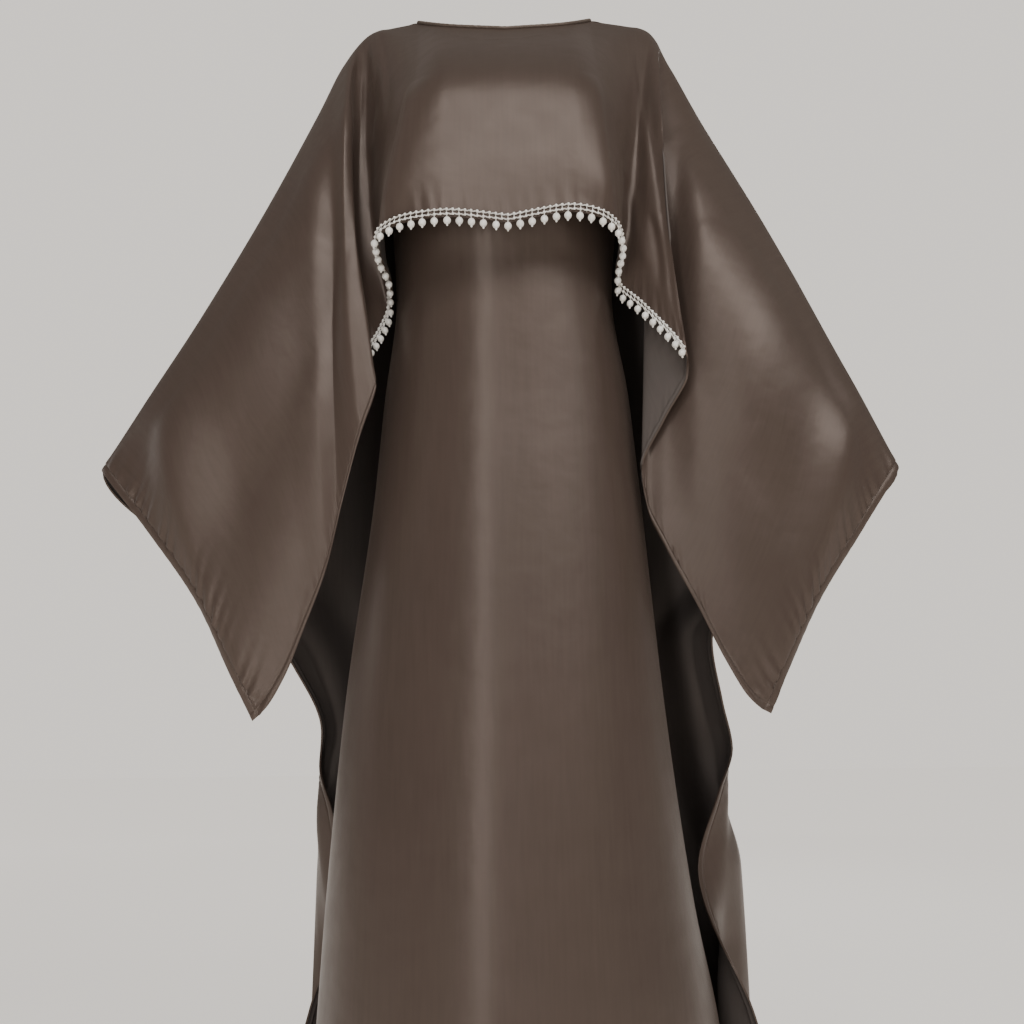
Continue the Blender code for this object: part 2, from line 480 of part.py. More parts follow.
def pearl_trim(front, normals, station, material):
    """A narrow strip over the front hem with a row of large pearls hanging from it."""
    names = {side: [row[0] for row in FRONT_FOLDS[side]] for side in SIDES}
    ends = {side: names[side].index(PEARL_REACH[side]) for side in SIDES}
    keep = (station >= -ends["left"] - 1e-6) & (station <= ends["right"] - 0.1)
    hem = front[-1, keep]
    face = unit(normals[-1, keep])
    down = unit(front[-1, keep] - front[-2, keep])
    length = np.concatenate([[0], np.cumsum(np.linalg.norm(np.diff(hem, axis=0), axis=1))])
    pitch = length[-1] / PEARLS
    half = 0.19 * pitch
    cuts = []
    for k in range(PEARLS):
        middle = (k + 0.5) * pitch
        cuts += [(middle - half, True), (middle + half, False)]
    for at in length:
        if all(abs(at - (k + 0.5) * pitch) > half + 0.0012 for k in range(PEARLS)):
            cuts.append((at, False))
    cuts.sort()

    def along(values, at):
        return np.stack([np.interp(at, length, values[:, c]) for c in range(3)], -1)
    verts, faces, roots = [], [], []
    for at, root in cuts:
        p, n, d = (along(v, [at])[0] for v in (hem, face, down))
        n, d = unit(n), unit(d)
        back = p + n * STRIP_OFF
        fore = back + n * STRIP_THICK
        lip, top = d * 0.0008, -d * (STRIP_HEIGHT - 0.0008)
        roots.append(root)
        verts += [fore + top, back + top, back + lip, fore + lip]
    for i in range(len(cuts) - 1):
        a, b = 4 * i, 4 * (i + 1)
        for s in range(4):
            t = (s + 1) % 4
            if s == 2 and roots[i]:
                continue
            faces.append((a + s, a + t, b + t, b + s))
    last = 4 * (len(cuts) - 1)
    faces += [(3, 2, 1, 0), (last, last + 1, last + 2, last + 3)]
    for i, root in enumerate(roots):
        if not root:
            continue
        a, b = 4 * i, 4 * (i + 1)
        ring = [a + 2, a + 3, b + 3, b + 2]
        middle = sum(np.array(verts[k]) for k in ring) / 4
        u = unit(np.array(verts[b + 2]) - np.array(verts[a + 2]))
        v = unit(np.array(verts[a + 3]) - np.array(verts[a + 2]))
        w = unit(np.cross(u, v))
        d = along(down, [(cuts[i][0] + cuts[i + 1][0]) / 2])[0]
        if np.dot(w, d) < 0:
            w = -w
        for drop, radius in ((PEARL_DROP - 0.62 * PEARL_RADIUS, 0.82), (PEARL_DROP + 0.1 * PEARL_RADIUS, 1.12),
                             (PEARL_DROP + 0.75 * PEARL_RADIUS, 0.72)):
            centre = middle + w * (drop - 0.0008)
            new = []
            for su, sv in ((-1, -1), (-1, 1), (1, 1), (1, -1)):
                verts.append(centre + PEARL_RADIUS * radius * 0.75 * (su * u + sv * v))
                new.append(len(verts) - 1)
            for k in range(4):
                m = (k + 1) % 4
                faces.append((ring[k], ring[m], new[m], new[k]))
            ring = new
        faces.append(tuple(ring))
    return add_object("pearl_trim", verts, faces, material, 60)


def make_material(name, color, roughness, sheen):
    material = bpy.data.materials.new(name)
    material.use_nodes = True
    shader = material.node_tree.nodes["Principled BSDF"]
    shader.inputs["Base Color"].default_value = (*color, 1)
    shader.inputs["Roughness"].default_value = roughness
    shader.inputs["Metallic"].default_value = 0.0
    shader.inputs["Sheen Weight"].default_value = sheen
    material.diffuse_color = (*color, 1)
    return material


def main():
    for obj in list(bpy.data.objects):
        bpy.data.objects.remove(obj, do_unlink=True)
    satin = make_material("satin", **SATIN)
    binding = make_material("binding", **BINDING)
    pearl = make_material("pearl", **PEARL)

    front, station = front_cape()
    normals = grid_normals(front)
    shoulder = np.flatnonzero(np.abs(station) >= NECK_POINT)
    level_seam(normals, 0, shoulder, SEAM_LEAN)
    cloth_wall("cape_front", front, normals, satin)

    back = back_cape()
    turned = back[:, ::-1]
    normals_back = grid_normals(turned)
    for column, side in ((0, "right"), (-1, "left")):
        on_arm = np.flatnonzero(turned[:, column, 2] > SHOULDER_LINE[side][-1][1] - 1e-6)
        level_seam(normals_back, on_arm, column, SEAM_LEAN)
    on_shoulder = np.flatnonzero(np.abs(turned[0, :, 0]) > SHOULDER_LINE["right"][0][0] - 1e-6)
    level_seam(normals_back, 0, on_shoulder, SEAM_LEAN)
    for column, beside in ((0, 1), (-1, -2)):          # shoulder tips, where both seams meet
        normals_back[0, column] = unit(normals_back[0, beside] + normals_back[1, column])
    cloth_wall("cape_back", turned, normals_back, satin)

    for name, face in (("dress_front", -1), ("dress_back", 1)):
        panel = dress_panel(face)
        if face > 0:
            panel = panel[:, ::-1]
        wall = grid_normals(panel)
        rows = np.arange(panel.shape[0])
        level_seam(wall, rows, 0)
        level_seam(wall, rows, panel.shape[1] - 1)
        end = DRESS_SHARES.index(max(STRAP))           # the strap's outer column bends like the next
        middle = len(DRESS_SHARES) - 1
        for column, beside in ((middle + end, middle + end - 1), (middle - end, middle - end + 1)):
            wall[:2, column] = wall[:2, beside]
        level_seam(wall, 0, np.flatnonzero(np.abs(panel[0, :, 1]) < 0.002), SEAM_LEAN)
        cloth_wall(name, panel, wall, satin)

    tube("neck_binding", neck_loop(front, station), BINDING_RADIUS, 6, binding)
    pearl_trim(front, normals, station, pearl)


main()
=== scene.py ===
# %% [markdown]
# # An abaya with a butterfly cape
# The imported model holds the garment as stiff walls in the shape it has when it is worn.
# This lesson dresses it: finer cloth with its small folds and sewn hems, a rolled neck
# binding and real pearls. Each piece is worked out from the same named fold lines and
# sections as the solid that it stands for, so everything stays where the model has it.

# %% Frame and modules
import math
import bpy
import numpy as np
from mathutils import Matrix, Vector


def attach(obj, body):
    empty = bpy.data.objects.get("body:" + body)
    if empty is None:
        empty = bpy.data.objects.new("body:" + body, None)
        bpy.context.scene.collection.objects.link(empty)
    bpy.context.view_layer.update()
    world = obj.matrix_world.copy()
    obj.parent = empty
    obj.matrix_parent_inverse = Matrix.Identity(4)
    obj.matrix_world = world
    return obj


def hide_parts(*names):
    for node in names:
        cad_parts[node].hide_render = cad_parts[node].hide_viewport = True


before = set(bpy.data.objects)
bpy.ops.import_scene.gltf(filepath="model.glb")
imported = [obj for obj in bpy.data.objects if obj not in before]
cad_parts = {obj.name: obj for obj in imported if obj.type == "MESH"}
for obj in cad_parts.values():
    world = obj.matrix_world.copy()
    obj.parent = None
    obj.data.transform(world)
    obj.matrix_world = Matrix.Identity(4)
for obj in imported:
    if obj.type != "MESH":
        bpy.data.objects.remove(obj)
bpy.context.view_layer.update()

print("nodes:", ", ".join(sorted(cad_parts)))

# %% [markdown]
# ## Camera
# The garment was looked at from near, with the lens at the height of the hips and tipped
# up, so the neck is at the top of the picture and the floor is cut off. A camera that is
# turned by two small angles repeats that view, and it needs no lens shift.

# %% Camera
CAMERA_PLACE = (0.0, -1.2626, -0.8540)
CAMERA_LENS = 38.67                       # mm, on a 36 mm wide sensor
CAMERA_TIP = math.atan(1100 / 6200)       # upwards
CAMERA_ROLL = math.radians(-0.75)

camera_data = bpy.data.cameras.new("camera")
camera_data.lens, camera_data.sensor_width = CAMERA_LENS, 36
camera = bpy.data.objects.new("camera", camera_data)
bpy.context.scene.collection.objects.link(camera)
camera.matrix_world = (Matrix.Translation(CAMERA_PLACE)
                       @ Matrix.Rotation(math.pi / 2 + CAMERA_TIP, 4, "X")
                       @ Matrix.Rotation(CAMERA_ROLL, 4, "Z"))
bpy.context.scene.camera = camera
print("camera tipped up by %.1f degrees" % math.degrees(CAMERA_TIP))

# %% [markdown]
# ## Floor and studio light
# Satin shows its folds by what it mirrors, so it wants large soft lamps and not many of
# them. A narrow strip beside the camera draws the long soft shine down the front, a wide
# lamp high in front lights the chest, a broad one on the right and a weak one far to the
# left keep the wings from going flat, one lights the back, and the pale room only lifts the shade.
# The room looks pale to the camera but gives little light, which keeps the hollows dark.

# %% Floor and lamps
FLOOR_Z = -1.4445
FLOOR_GLOW = (0.71, 0.875)         # near the garment and far from it
LAMPS = [  # name, place, aimed at, width, height, watts
    ("strip", (-0.265, -1.20, -0.55), (-0.05, -0.10, -0.75), 0.12, 1.70, 5.4),
    ("over", (0.00, -2.10, 1.30), (0.0, -0.10, -0.25), 1.10, 0.45, 19),
    ("right", (1.40, -2.13, 0.95), (0.10, -0.10, -0.55), 2.20, 0.80, 36),
    ("left", (-1.60, 0.14, -0.25), (-0.38, -0.06, -0.50), 0.50, 0.60, 1.4),
    ("back", (0.60, 2.60, 0.90), (0.0, 0.10, -0.60), 1.60, 1.20, 30),
]
ROOM_SEEN, ROOM_LIGHT = (1.06, 1.00, 0.93), 0.19


def pale_material(name, color, glow_color, glow):
    material = bpy.data.materials.new(name)
    material.use_nodes = True
    shader = material.node_tree.nodes["Principled BSDF"]
    shader.inputs["Base Color"].default_value = (*color, 1)
    shader.inputs["Emission Color"].default_value = (*glow_color, 1)
    shader.inputs["Roughness"].default_value = 0.9
    shader.inputs["Emission Strength"].default_value = glow
    return material


floor_mesh = bpy.data.meshes.new("floor")
floor_mesh.from_pydata([(x, y, FLOOR_Z) for x, y in ((-9, -9), (9, -9), (9, 9), (-9, 9))], [], [(0, 1, 2, 3)])
floor = bpy.data.objects.new("floor", floor_mesh)
floor_mesh.materials.append(pale_material("pale_floor", (0.50, 0.48, 0.45), ROOM_SEEN, FLOOR_GLOW[0]))
bpy.context.scene.collection.objects.link(floor)

# The lamps light only the middle of the floor, so its own glow grows outwards to its edge.
floor_tree = floor_mesh.materials[0].node_tree
where, away, glow = (floor_tree.nodes.new("ShaderNode" + kind) for kind in ("NewGeometry", "VectorMath", "MapRange"))
away.operation = "LENGTH"
for key, value in (("From Min", 2.2), ("From Max", 4.5), ("To Min", FLOOR_GLOW[0]), ("To Max", FLOOR_GLOW[1])):
    glow.inputs[key].default_value = value
floor_tree.links.new(where.outputs["Position"], away.inputs[0])
floor_tree.links.new(away.outputs["Value"], glow.inputs["Value"])
floor_tree.links.new(glow.outputs["Result"], floor_tree.nodes["Principled BSDF"].inputs["Emission Strength"])

for name, place, aim, width, height, watts in LAMPS:
    lamp = bpy.data.lights.new("lamp_" + name, "AREA")
    lamp.shape, lamp.size, lamp.size_y, lamp.energy = "RECTANGLE", width, height, watts
    holder = bpy.data.objects.new("lamp_" + name, lamp)
    holder.location = place
    holder.rotation_euler = (Vector(aim) - Vector(place)).to_track_quat("-Z", "Y").to_euler()
    holder.visible_camera = False
    bpy.context.scene.collection.objects.link(holder)

room = bpy.data.worlds.new("room")
bpy.context.scene.world = room
room.use_nodes = True
nodes, links = room.node_tree.nodes, room.node_tree.links
seen, lit = nodes["Background"], nodes.new("ShaderNodeBackground")
seen.inputs["Color"].default_value = lit.inputs["Color"].default_value = (*ROOM_SEEN, 1)
lit.inputs["Strength"].default_value = ROOM_LIGHT
path, mix = nodes.new("ShaderNodeLightPath"), nodes.new("ShaderNodeMixShader")
links.new(path.outputs["Is Camera Ray"], mix.inputs["Fac"])
links.new(lit.outputs["Background"], mix.inputs[1])
links.new(seen.outputs["Background"], mix.inputs[2])
links.new(mix.outputs["Shader"], nodes["World Output"].inputs["Surface"])
print(len(LAMPS), "lamps and a pale room")

# %% [markdown]
# ## What the finishes share
# All the cloth is one satin, cut into pieces and dyed in one bath. Two effects return in
# each of its materials: the weave, with long threads that lie on the face, and the uneven
# tone and handling marks of a garment that has hung and been worn. Each is built once as
# a node group and gets its own values in each material.


# %% Node groups
def new_group(name, inputs, outputs):
    """A shader group with named sockets; returns it with a function that adds nodes."""
    group = bpy.data.node_groups.new(name, "ShaderNodeTree")
    for socket, kind, value in inputs:
        made = group.interface.new_socket(name=socket, in_out="INPUT", socket_type=kind)
        if value is not None:
            made.default_value = value
    for socket, kind in outputs:
        group.interface.new_socket(name=socket, in_out="OUTPUT", socket_type=kind)

    def add(kind, **settings):
        node = group.nodes.new(kind)
        for key, value in settings.items():
            if key in node.inputs:
                node.inputs[key].default_value = value
            else:
                setattr(node, key, value)
        return node
    return group, add


def weave_group():
    """Satin weave. Pattern is in metres on the cloth; Threads is how many lie in a metre."""
    group, add = new_group("satin weave", [("Pattern", "NodeSocketVector", None), ("Threads", "NodeSocketFloat", 3000.0)],
                           [("Height", "NodeSocketFloat"), ("Streak", "NodeSocketFloat")])
    entry, out = add("NodeGroupInput"), add("NodeGroupOutput")
    stretch = add("ShaderNodeVectorMath", operation="MULTIPLY")
    stretch.inputs[1].default_value = (1.0, 0.12, 1.0)
    scale = add("ShaderNodeVectorMath", operation="SCALE")
    thread = add("ShaderNodeTexNoise", Scale=1.0, Detail=1.0)
    wide = add("ShaderNodeVectorMath", operation="MULTIPLY")
    wide.inputs[1].default_value = (260.0, 14.0, 1.0)
    streak = add("ShaderNodeTexNoise", Scale=1.0, Detail=2.0)
    group.links.new(entry.outputs["Pattern"], stretch.inputs[0])
    group.links.new(stretch.outputs["Vector"], scale.inputs[0])
    group.links.new(entry.outputs["Threads"], scale.inputs["Scale"])
    group.links.new(scale.outputs["Vector"], thread.inputs["Vector"])
    group.links.new(entry.outputs["Pattern"], wide.inputs[0])
    group.links.new(wide.outputs["Vector"], streak.inputs["Vector"])
    group.links.new(thread.outputs["Fac"], out.inputs["Height"])
    group.links.new(streak.outputs["Fac"], out.inputs["Streak"])
    return group


def tone_group():
    """Uneven tone of hung cloth: broad clouds and small handling marks."""
    group, add = new_group("hung cloth tone", [("Cloud size", "NodeSocketFloat", 5.0), ("Mark size", "NodeSocketFloat", 42.0)],
                           [("Cloud", "NodeSocketFloat"), ("Marks", "NodeSocketFloat")])
    entry, out = add("NodeGroupInput"), add("NodeGroupOutput")
    place = add("ShaderNodeTexCoord")
    cloud, marks = add("ShaderNodeTexNoise", Detail=3.0), add("ShaderNodeTexNoise", Detail=2.0, Roughness=0.4)
    for node, size in ((cloud, "Cloud size"), (marks, "Mark size")):
        group.links.new(place.outputs["Object"], node.inputs["Vector"])
        group.links.new(entry.outputs[size], node.inputs["Scale"])
    group.links.new(cloud.outputs["Fac"], out.inputs["Cloud"])
    group.links.new(marks.outputs["Fac"], out.inputs["Marks"])
    return group


WEAVE, TONE = weave_group(), tone_group()
print("node groups:", WEAVE.name, "and", TONE.name)

# %% [markdown]
# ## Satin
# The face of the satin shines softly, because its long threads lie side by side, and the
# wrong side is dull and looks greyer. Both are the same threads, so one function makes
# both, with other numbers. The shine is a rather rough gloss, stretched across the
# threads, with a little sheen over it, and the weave and the marks only disturb it.


# %% Cloth materials
def cloth_material(name, dark, light, roughness, sheen, sheen_tint, stretch=0.0, bump=0.35, threads=3000.0):
    material = bpy.data.materials.new(name)
    material.use_nodes = True
    nodes, links = material.node_tree.nodes, material.node_tree.links
    shader = nodes["Principled BSDF"]
    shader.inputs["Sheen Weight"].default_value = sheen
    shader.inputs["Sheen Roughness"].default_value = 0.45
    shader.inputs["Sheen Tint"].default_value = (*sheen_tint, 1)
    shader.inputs["Specular IOR Level"].default_value = 0.5
    shader.inputs["Specular Tint"].default_value = (1.0, 0.84, 0.74, 1)
    shader.inputs["Anisotropic"].default_value = stretch
    shader.inputs["Anisotropic Rotation"].default_value = 0.25
    pattern, grain = nodes.new("ShaderNodeUVMap"), nodes.new("ShaderNodeTangent")
    grain.direction_type = "UV_MAP"
    pattern.uv_map = grain.uv_map = "cloth"
    links.new(grain.outputs["Tangent"], shader.inputs["Tangent"])
    weave, tone = nodes.new("ShaderNodeGroup"), nodes.new("ShaderNodeGroup")
    weave.node_tree, tone.node_tree = WEAVE, TONE
    weave.inputs["Threads"].default_value = threads
    links.new(pattern.outputs["UV"], weave.inputs["Pattern"])

    blend = nodes.new("ShaderNodeMath")            # clouds and streaks together
    blend.operation = "MULTIPLY_ADD"
    blend.inputs[1].default_value = 0.45
    links.new(weave.outputs["Streak"], blend.inputs[0])
    half = nodes.new("ShaderNodeMath")
    half.operation = "MULTIPLY"
    half.inputs[1].default_value = 0.55
    links.new(tone.outputs["Cloud"], half.inputs[0])
    links.new(half.outputs[0], blend.inputs[2])
    ramp = nodes.new("ShaderNodeValToRGB")
    ramp.color_ramp.elements[0].position, ramp.color_ramp.elements[1].position = 0.32, 0.68
    ramp.color_ramp.elements[0].color, ramp.color_ramp.elements[1].color = (*dark, 1), (*light, 1)
    links.new(blend.outputs[0], ramp.inputs["Fac"])
    links.new(ramp.outputs["Color"], shader.inputs["Base Color"])

    rough = nodes.new("ShaderNodeMapRange")
    rough.inputs["To Min"].default_value, rough.inputs["To Max"].default_value = roughness - 0.05, roughness + 0.05
    links.new(tone.outputs["Marks"], rough.inputs["Value"])
    links.new(rough.outputs["Result"], shader.inputs["Roughness"])

    fine, soft = nodes.new("ShaderNodeBump"), nodes.new("ShaderNodeBump")
    fine.inputs["Strength"].default_value, fine.inputs["Distance"].default_value = bump, 0.00012
    soft.inputs["Strength"].default_value, soft.inputs["Distance"].default_value = 0.5, 0.0012
    links.new(tone.outputs["Marks"], soft.inputs["Height"])
    links.new(weave.outputs["Height"], fine.inputs["Height"])
    links.new(soft.outputs["Normal"], fine.inputs["Normal"])
    links.new(fine.outputs["Normal"], shader.inputs["Normal"])
    return material


SATIN_FACE = cloth_material("satin_face", (0.052, 0.036, 0.029), (0.064, 0.045, 0.036), 0.38, 0.08, (0.62, 0.50, 0.42), 0.40)
SATIN_WRONG = cloth_material("satin_wrong_side", (0.058, 0.049, 0.045), (0.070, 0.059, 0.054), 0.68, 0.10, (0.4, 0.38, 0.36), 0.0, 0.6)
SATIN_BIAS = cloth_material("satin_bias_strip", (0.078, 0.058, 0.047), (0.094, 0.071, 0.057), 0.42, 0.22, (0.6, 0.5, 0.42), 0.2)
THREAD = cloth_material("sewing_thread", (0.036, 0.027, 0.022), (0.048, 0.036, 0.029), 0.55, 0.15, (0.5, 0.42, 0.36), 0.0, 0.5, 9000.0)
print("cloth materials:", ", ".join(m.name for m in (SATIN_FACE, SATIN_WRONG, SATIN_BIAS, THREAD)))

# %% [markdown]
# ## Pearls
# The large drops and the small beads are glass dipped in pearl colour: nearly white,
# warm, with a clear gloss over a soft body. A thin coat over a slightly rough body does
# this, and clouds of two ivory tones keep neighbours from looking alike.


# %% Pearl materials
def pearl_material(name, low, high, roughness, coat):
    material = bpy.data.materials.new(name)
    material.use_nodes = True
    nodes, links = material.node_tree.nodes, material.node_tree.links
    shader = nodes["Principled BSDF"]
    shader.inputs["Coat Weight"].default_value = coat
    shader.inputs["Coat Roughness"].default_value = 0.08
    shader.inputs["Sheen Weight"].default_value = 0.15
    tone = nodes.new("ShaderNodeGroup")
    tone.node_tree = TONE
    tone.inputs["Cloud size"].default_value, tone.inputs["Mark size"].default_value = 90.0, 900.0
    ramp = nodes.new("ShaderNodeValToRGB")
    ramp.color_ramp.elements[0].position, ramp.color_ramp.elements[1].position = 0.35, 0.65
    ramp.color_ramp.elements[0].color, ramp.color_ramp.elements[1].color = (*low, 1), (*high, 1)
    links.new(tone.outputs["Cloud"], ramp.inputs["Fac"])
    links.new(ramp.outputs["Color"], shader.inputs["Base Color"])
    rough = nodes.new("ShaderNodeMapRange")
    rough.inputs["To Min"].default_value, rough.inputs["To Max"].default_value = roughness - 0.06, roughness + 0.06
    links.new(tone.outputs["Marks"], rough.inputs["Value"])
    links.new(rough.outputs["Result"], shader.inputs["Roughness"])
    return material


PEARL = pearl_material("pearl_large", (0.78, 0.74, 0.67), (0.90, 0.87, 0.81), 0.26, 0.6)
BEAD = pearl_material("pearl_small", (0.72, 0.68, 0.61), (0.88, 0.85, 0.80), 0.30, 0.5)
CORD = pearl_material("braid_cord", (0.60, 0.57, 0.52), (0.76, 0.73, 0.68), 0.55, 0.0)
print("pearl materials:", ", ".join(m.name for m in (PEARL, BEAD, CORD)))

# %% [markdown]
# ## Fold lines and sections
# A worn cape is a soft surface, but a few lines settle its shape: the line where its two
# halves are sewn together, over the shoulders and down the arms, and the folds that hang
# from it. The tables give those lines in metres, with x counted outwards on each side.
# They are the same numbers as the solids have, because the cloth has to lie where they are.

# %% Shared line and neck
HEM_Z = -1.440         # dress hem, just over the floor
CAPE_HEM_Z = -1.428    # back cape hem
SIDES = {"left": -1, "right": 1}   # as seen from the front

# Edge of the front neck: (x, y, z) at the centre and a quarter, x counted outwards.
NECK_COLUMNS = ("x", "y", "z")
FRONT_NECK = [(0.000, -0.060, -0.050), (0.072, -0.046, -0.036)]
BACK_NECK = [(0.000, 0.066, -0.018), (0.070, 0.050, -0.012)]

# Line that both cape panels share: neck point, shoulder tip, along the arm to the
# wrist. It lies in one plane that leans forward: y = SEAM_LEAN * z.
LINE_COLUMNS = ("x", "z")
SHOULDER_LINE = {
    "left": [(0.111, 0.000), (0.166, -0.015), (0.202, -0.063), (0.232, -0.134),
             (0.291, -0.264), (0.363, -0.407), (0.419, -0.508), (0.462, -0.585)],
    "right": [(0.107, 0.000), (0.176, -0.017), (0.204, -0.071), (0.235, -0.143),
              (0.306, -0.291), (0.374, -0.448), (0.403, -0.515), (0.436, -0.594)],
}
SEAM_LEAN = 0.085
NECK_POINT, SHOULDER_TIP = 2, 3    # places on the line, counted from the centre front

# %% Fold lines of the front cape
# Front cape: one row for each fold line, from the centre front out to the wrist.
# "line" is where it leaves the shoulder line, in rows of that line.
FOLD_COLUMNS = ("name", "line", "support", "middle", "hem")
FRONT_FOLDS = {
    "left": [
        ("centre",       0.00, (0.000, -0.163, -0.172), (0.000, -0.180, -0.265), (0.000, -0.182, -0.354)),
        ("quarter",      1.00, (0.070, -0.163, -0.180), (0.068, -0.178, -0.268), (0.066, -0.180, -0.346)),
        ("flat edge",    2.00, (0.104, -0.152, -0.203), (0.110, -0.167, -0.280), (0.111, -0.170, -0.347)),
        ("corner",       2.45, (0.120, -0.126, -0.196), (0.133, -0.143, -0.285), (0.143, -0.143, -0.355)),
        ("side",         2.75, (0.138, -0.092, -0.170), (0.141, -0.108, -0.290), (0.142, -0.116, -0.364)),
        ("return",       3.00, (0.157, -0.066, -0.160), (0.147, -0.074, -0.300), (0.135, -0.082, -0.379)),
        ("recess",       3.15, (0.169, -0.046, -0.150), (0.158, -0.048, -0.310), (0.138, -0.053, -0.402)),
        ("under wing",   3.25, (0.175, -0.045, -0.150), (0.171, -0.052, -0.320), (0.149, -0.064, -0.436)),
        ("pearl end",    3.35, (0.179, -0.049, -0.150), (0.182, -0.066, -0.330), (0.161, -0.081, -0.464)),
        ("hidden turn",  3.45, (0.182, -0.058, -0.152), (0.185, -0.082, -0.335), (0.168, -0.092, -0.486)),
        ("wing fold",    3.60, (0.1815, -0.075, -0.152), (0.171, -0.101, -0.330), (0.147, -0.109, -0.512)),
        ("wing edge",    3.85, (0.188, -0.085, -0.160), (0.181, -0.105, -0.370), (0.161, -0.112, -0.562)),
        ("wing valley",  4.40, (0.205, -0.077, -0.190), (0.196, -0.090, -0.430), (0.187, -0.099, -0.660)),
        ("wing plane",   5.05, (0.228, -0.074, -0.225), (0.214, -0.096, -0.480), (0.200, -0.101, -0.714)),
        ("elbow",        6.00, (0.276, -0.068, -0.325), (0.246, -0.093, -0.570), (0.221, -0.098, -0.770)),
        ("fore arm",     7.00, (0.342, -0.076, -0.455), (0.292, -0.093, -0.655), (0.240, -0.097, -0.818)),
        ("wrist side",   8.00, (0.394, -0.082, -0.552), (0.333, -0.094, -0.705), (0.260, -0.096, -0.852)),
        ("wrist",        9.00, (0.404, -0.070, -0.655), (0.341, -0.083, -0.738), (0.274, -0.095, -0.865)),
    ],
    "right": [
        ("centre",       0.00, (0.000, -0.163, -0.172), (0.000, -0.180, -0.265), (0.000, -0.182, -0.354)),
        ("quarter",      1.00, (0.072, -0.163, -0.180), (0.071, -0.178, -0.266), (0.068, -0.178, -0.341)),
        ("flat edge",    2.00, (0.103, -0.152, -0.202), (0.102, -0.166, -0.280), (0.096, -0.170, -0.343)),
        ("corner",       2.40, (0.117, -0.128, -0.205), (0.118, -0.146, -0.285), (0.119, -0.146, -0.350)),
        ("side",         2.70, (0.131, -0.098, -0.190), (0.126, -0.116, -0.290), (0.125, -0.118, -0.358)),
        ("return",       2.90, (0.146, -0.074, -0.175), (0.132, -0.084, -0.295), (0.123, -0.084, -0.369)),
        ("recess",       3.05, (0.156, -0.066, -0.165), (0.140, -0.074, -0.305), (0.125, -0.070, -0.384)),
        ("rise",         3.25, (0.166, -0.074, -0.165), (0.157, -0.090, -0.325), (0.151, -0.091, -0.419)),
        ("outer fold",   3.45, (0.180, -0.080, -0.170), (0.181, -0.104, -0.330), (0.190, -0.112, -0.478)),
        ("fold return",  3.50, (0.180, -0.072, -0.170), (0.181, -0.094, -0.345), (0.192, -0.102, -0.500)),
        ("under layer",  3.60, (0.169, -0.064, -0.170), (0.167, -0.084, -0.370), (0.169, -0.086, -0.545)),
        ("inner turn",   3.75, (0.161, -0.054, -0.172), (0.155, -0.068, -0.385), (0.144, -0.075, -0.600)),
        ("wing start",   4.00, (0.173, -0.046, -0.180), (0.161, -0.056, -0.400), (0.149, -0.074, -0.642)),
        ("wing fold",    4.40, (0.200, -0.052, -0.205), (0.181, -0.064, -0.440), (0.167, -0.083, -0.688)),
        ("wing plane",   5.10, (0.230, -0.066, -0.250), (0.210, -0.082, -0.510), (0.197, -0.090, -0.751)),
        ("elbow",        6.00, (0.289, -0.068, -0.350), (0.248, -0.090, -0.605), (0.222, -0.094, -0.806)),
        ("fore arm",     7.00, (0.352, -0.076, -0.498), (0.294, -0.093, -0.680), (0.244, -0.096, -0.845)),
        ("wrist side",   8.00, (0.380, -0.082, -0.565), (0.318, -0.094, -0.717), (0.257, -0.096, -0.858)),
        ("wrist",        9.00, (0.387, -0.070, -0.664), (0.325, -0.083, -0.752), (0.268, -0.095, -0.864)),
    ],
}
ROLL_REACH = 0.055     # how far the cloth reaches over a shoulder or an arm

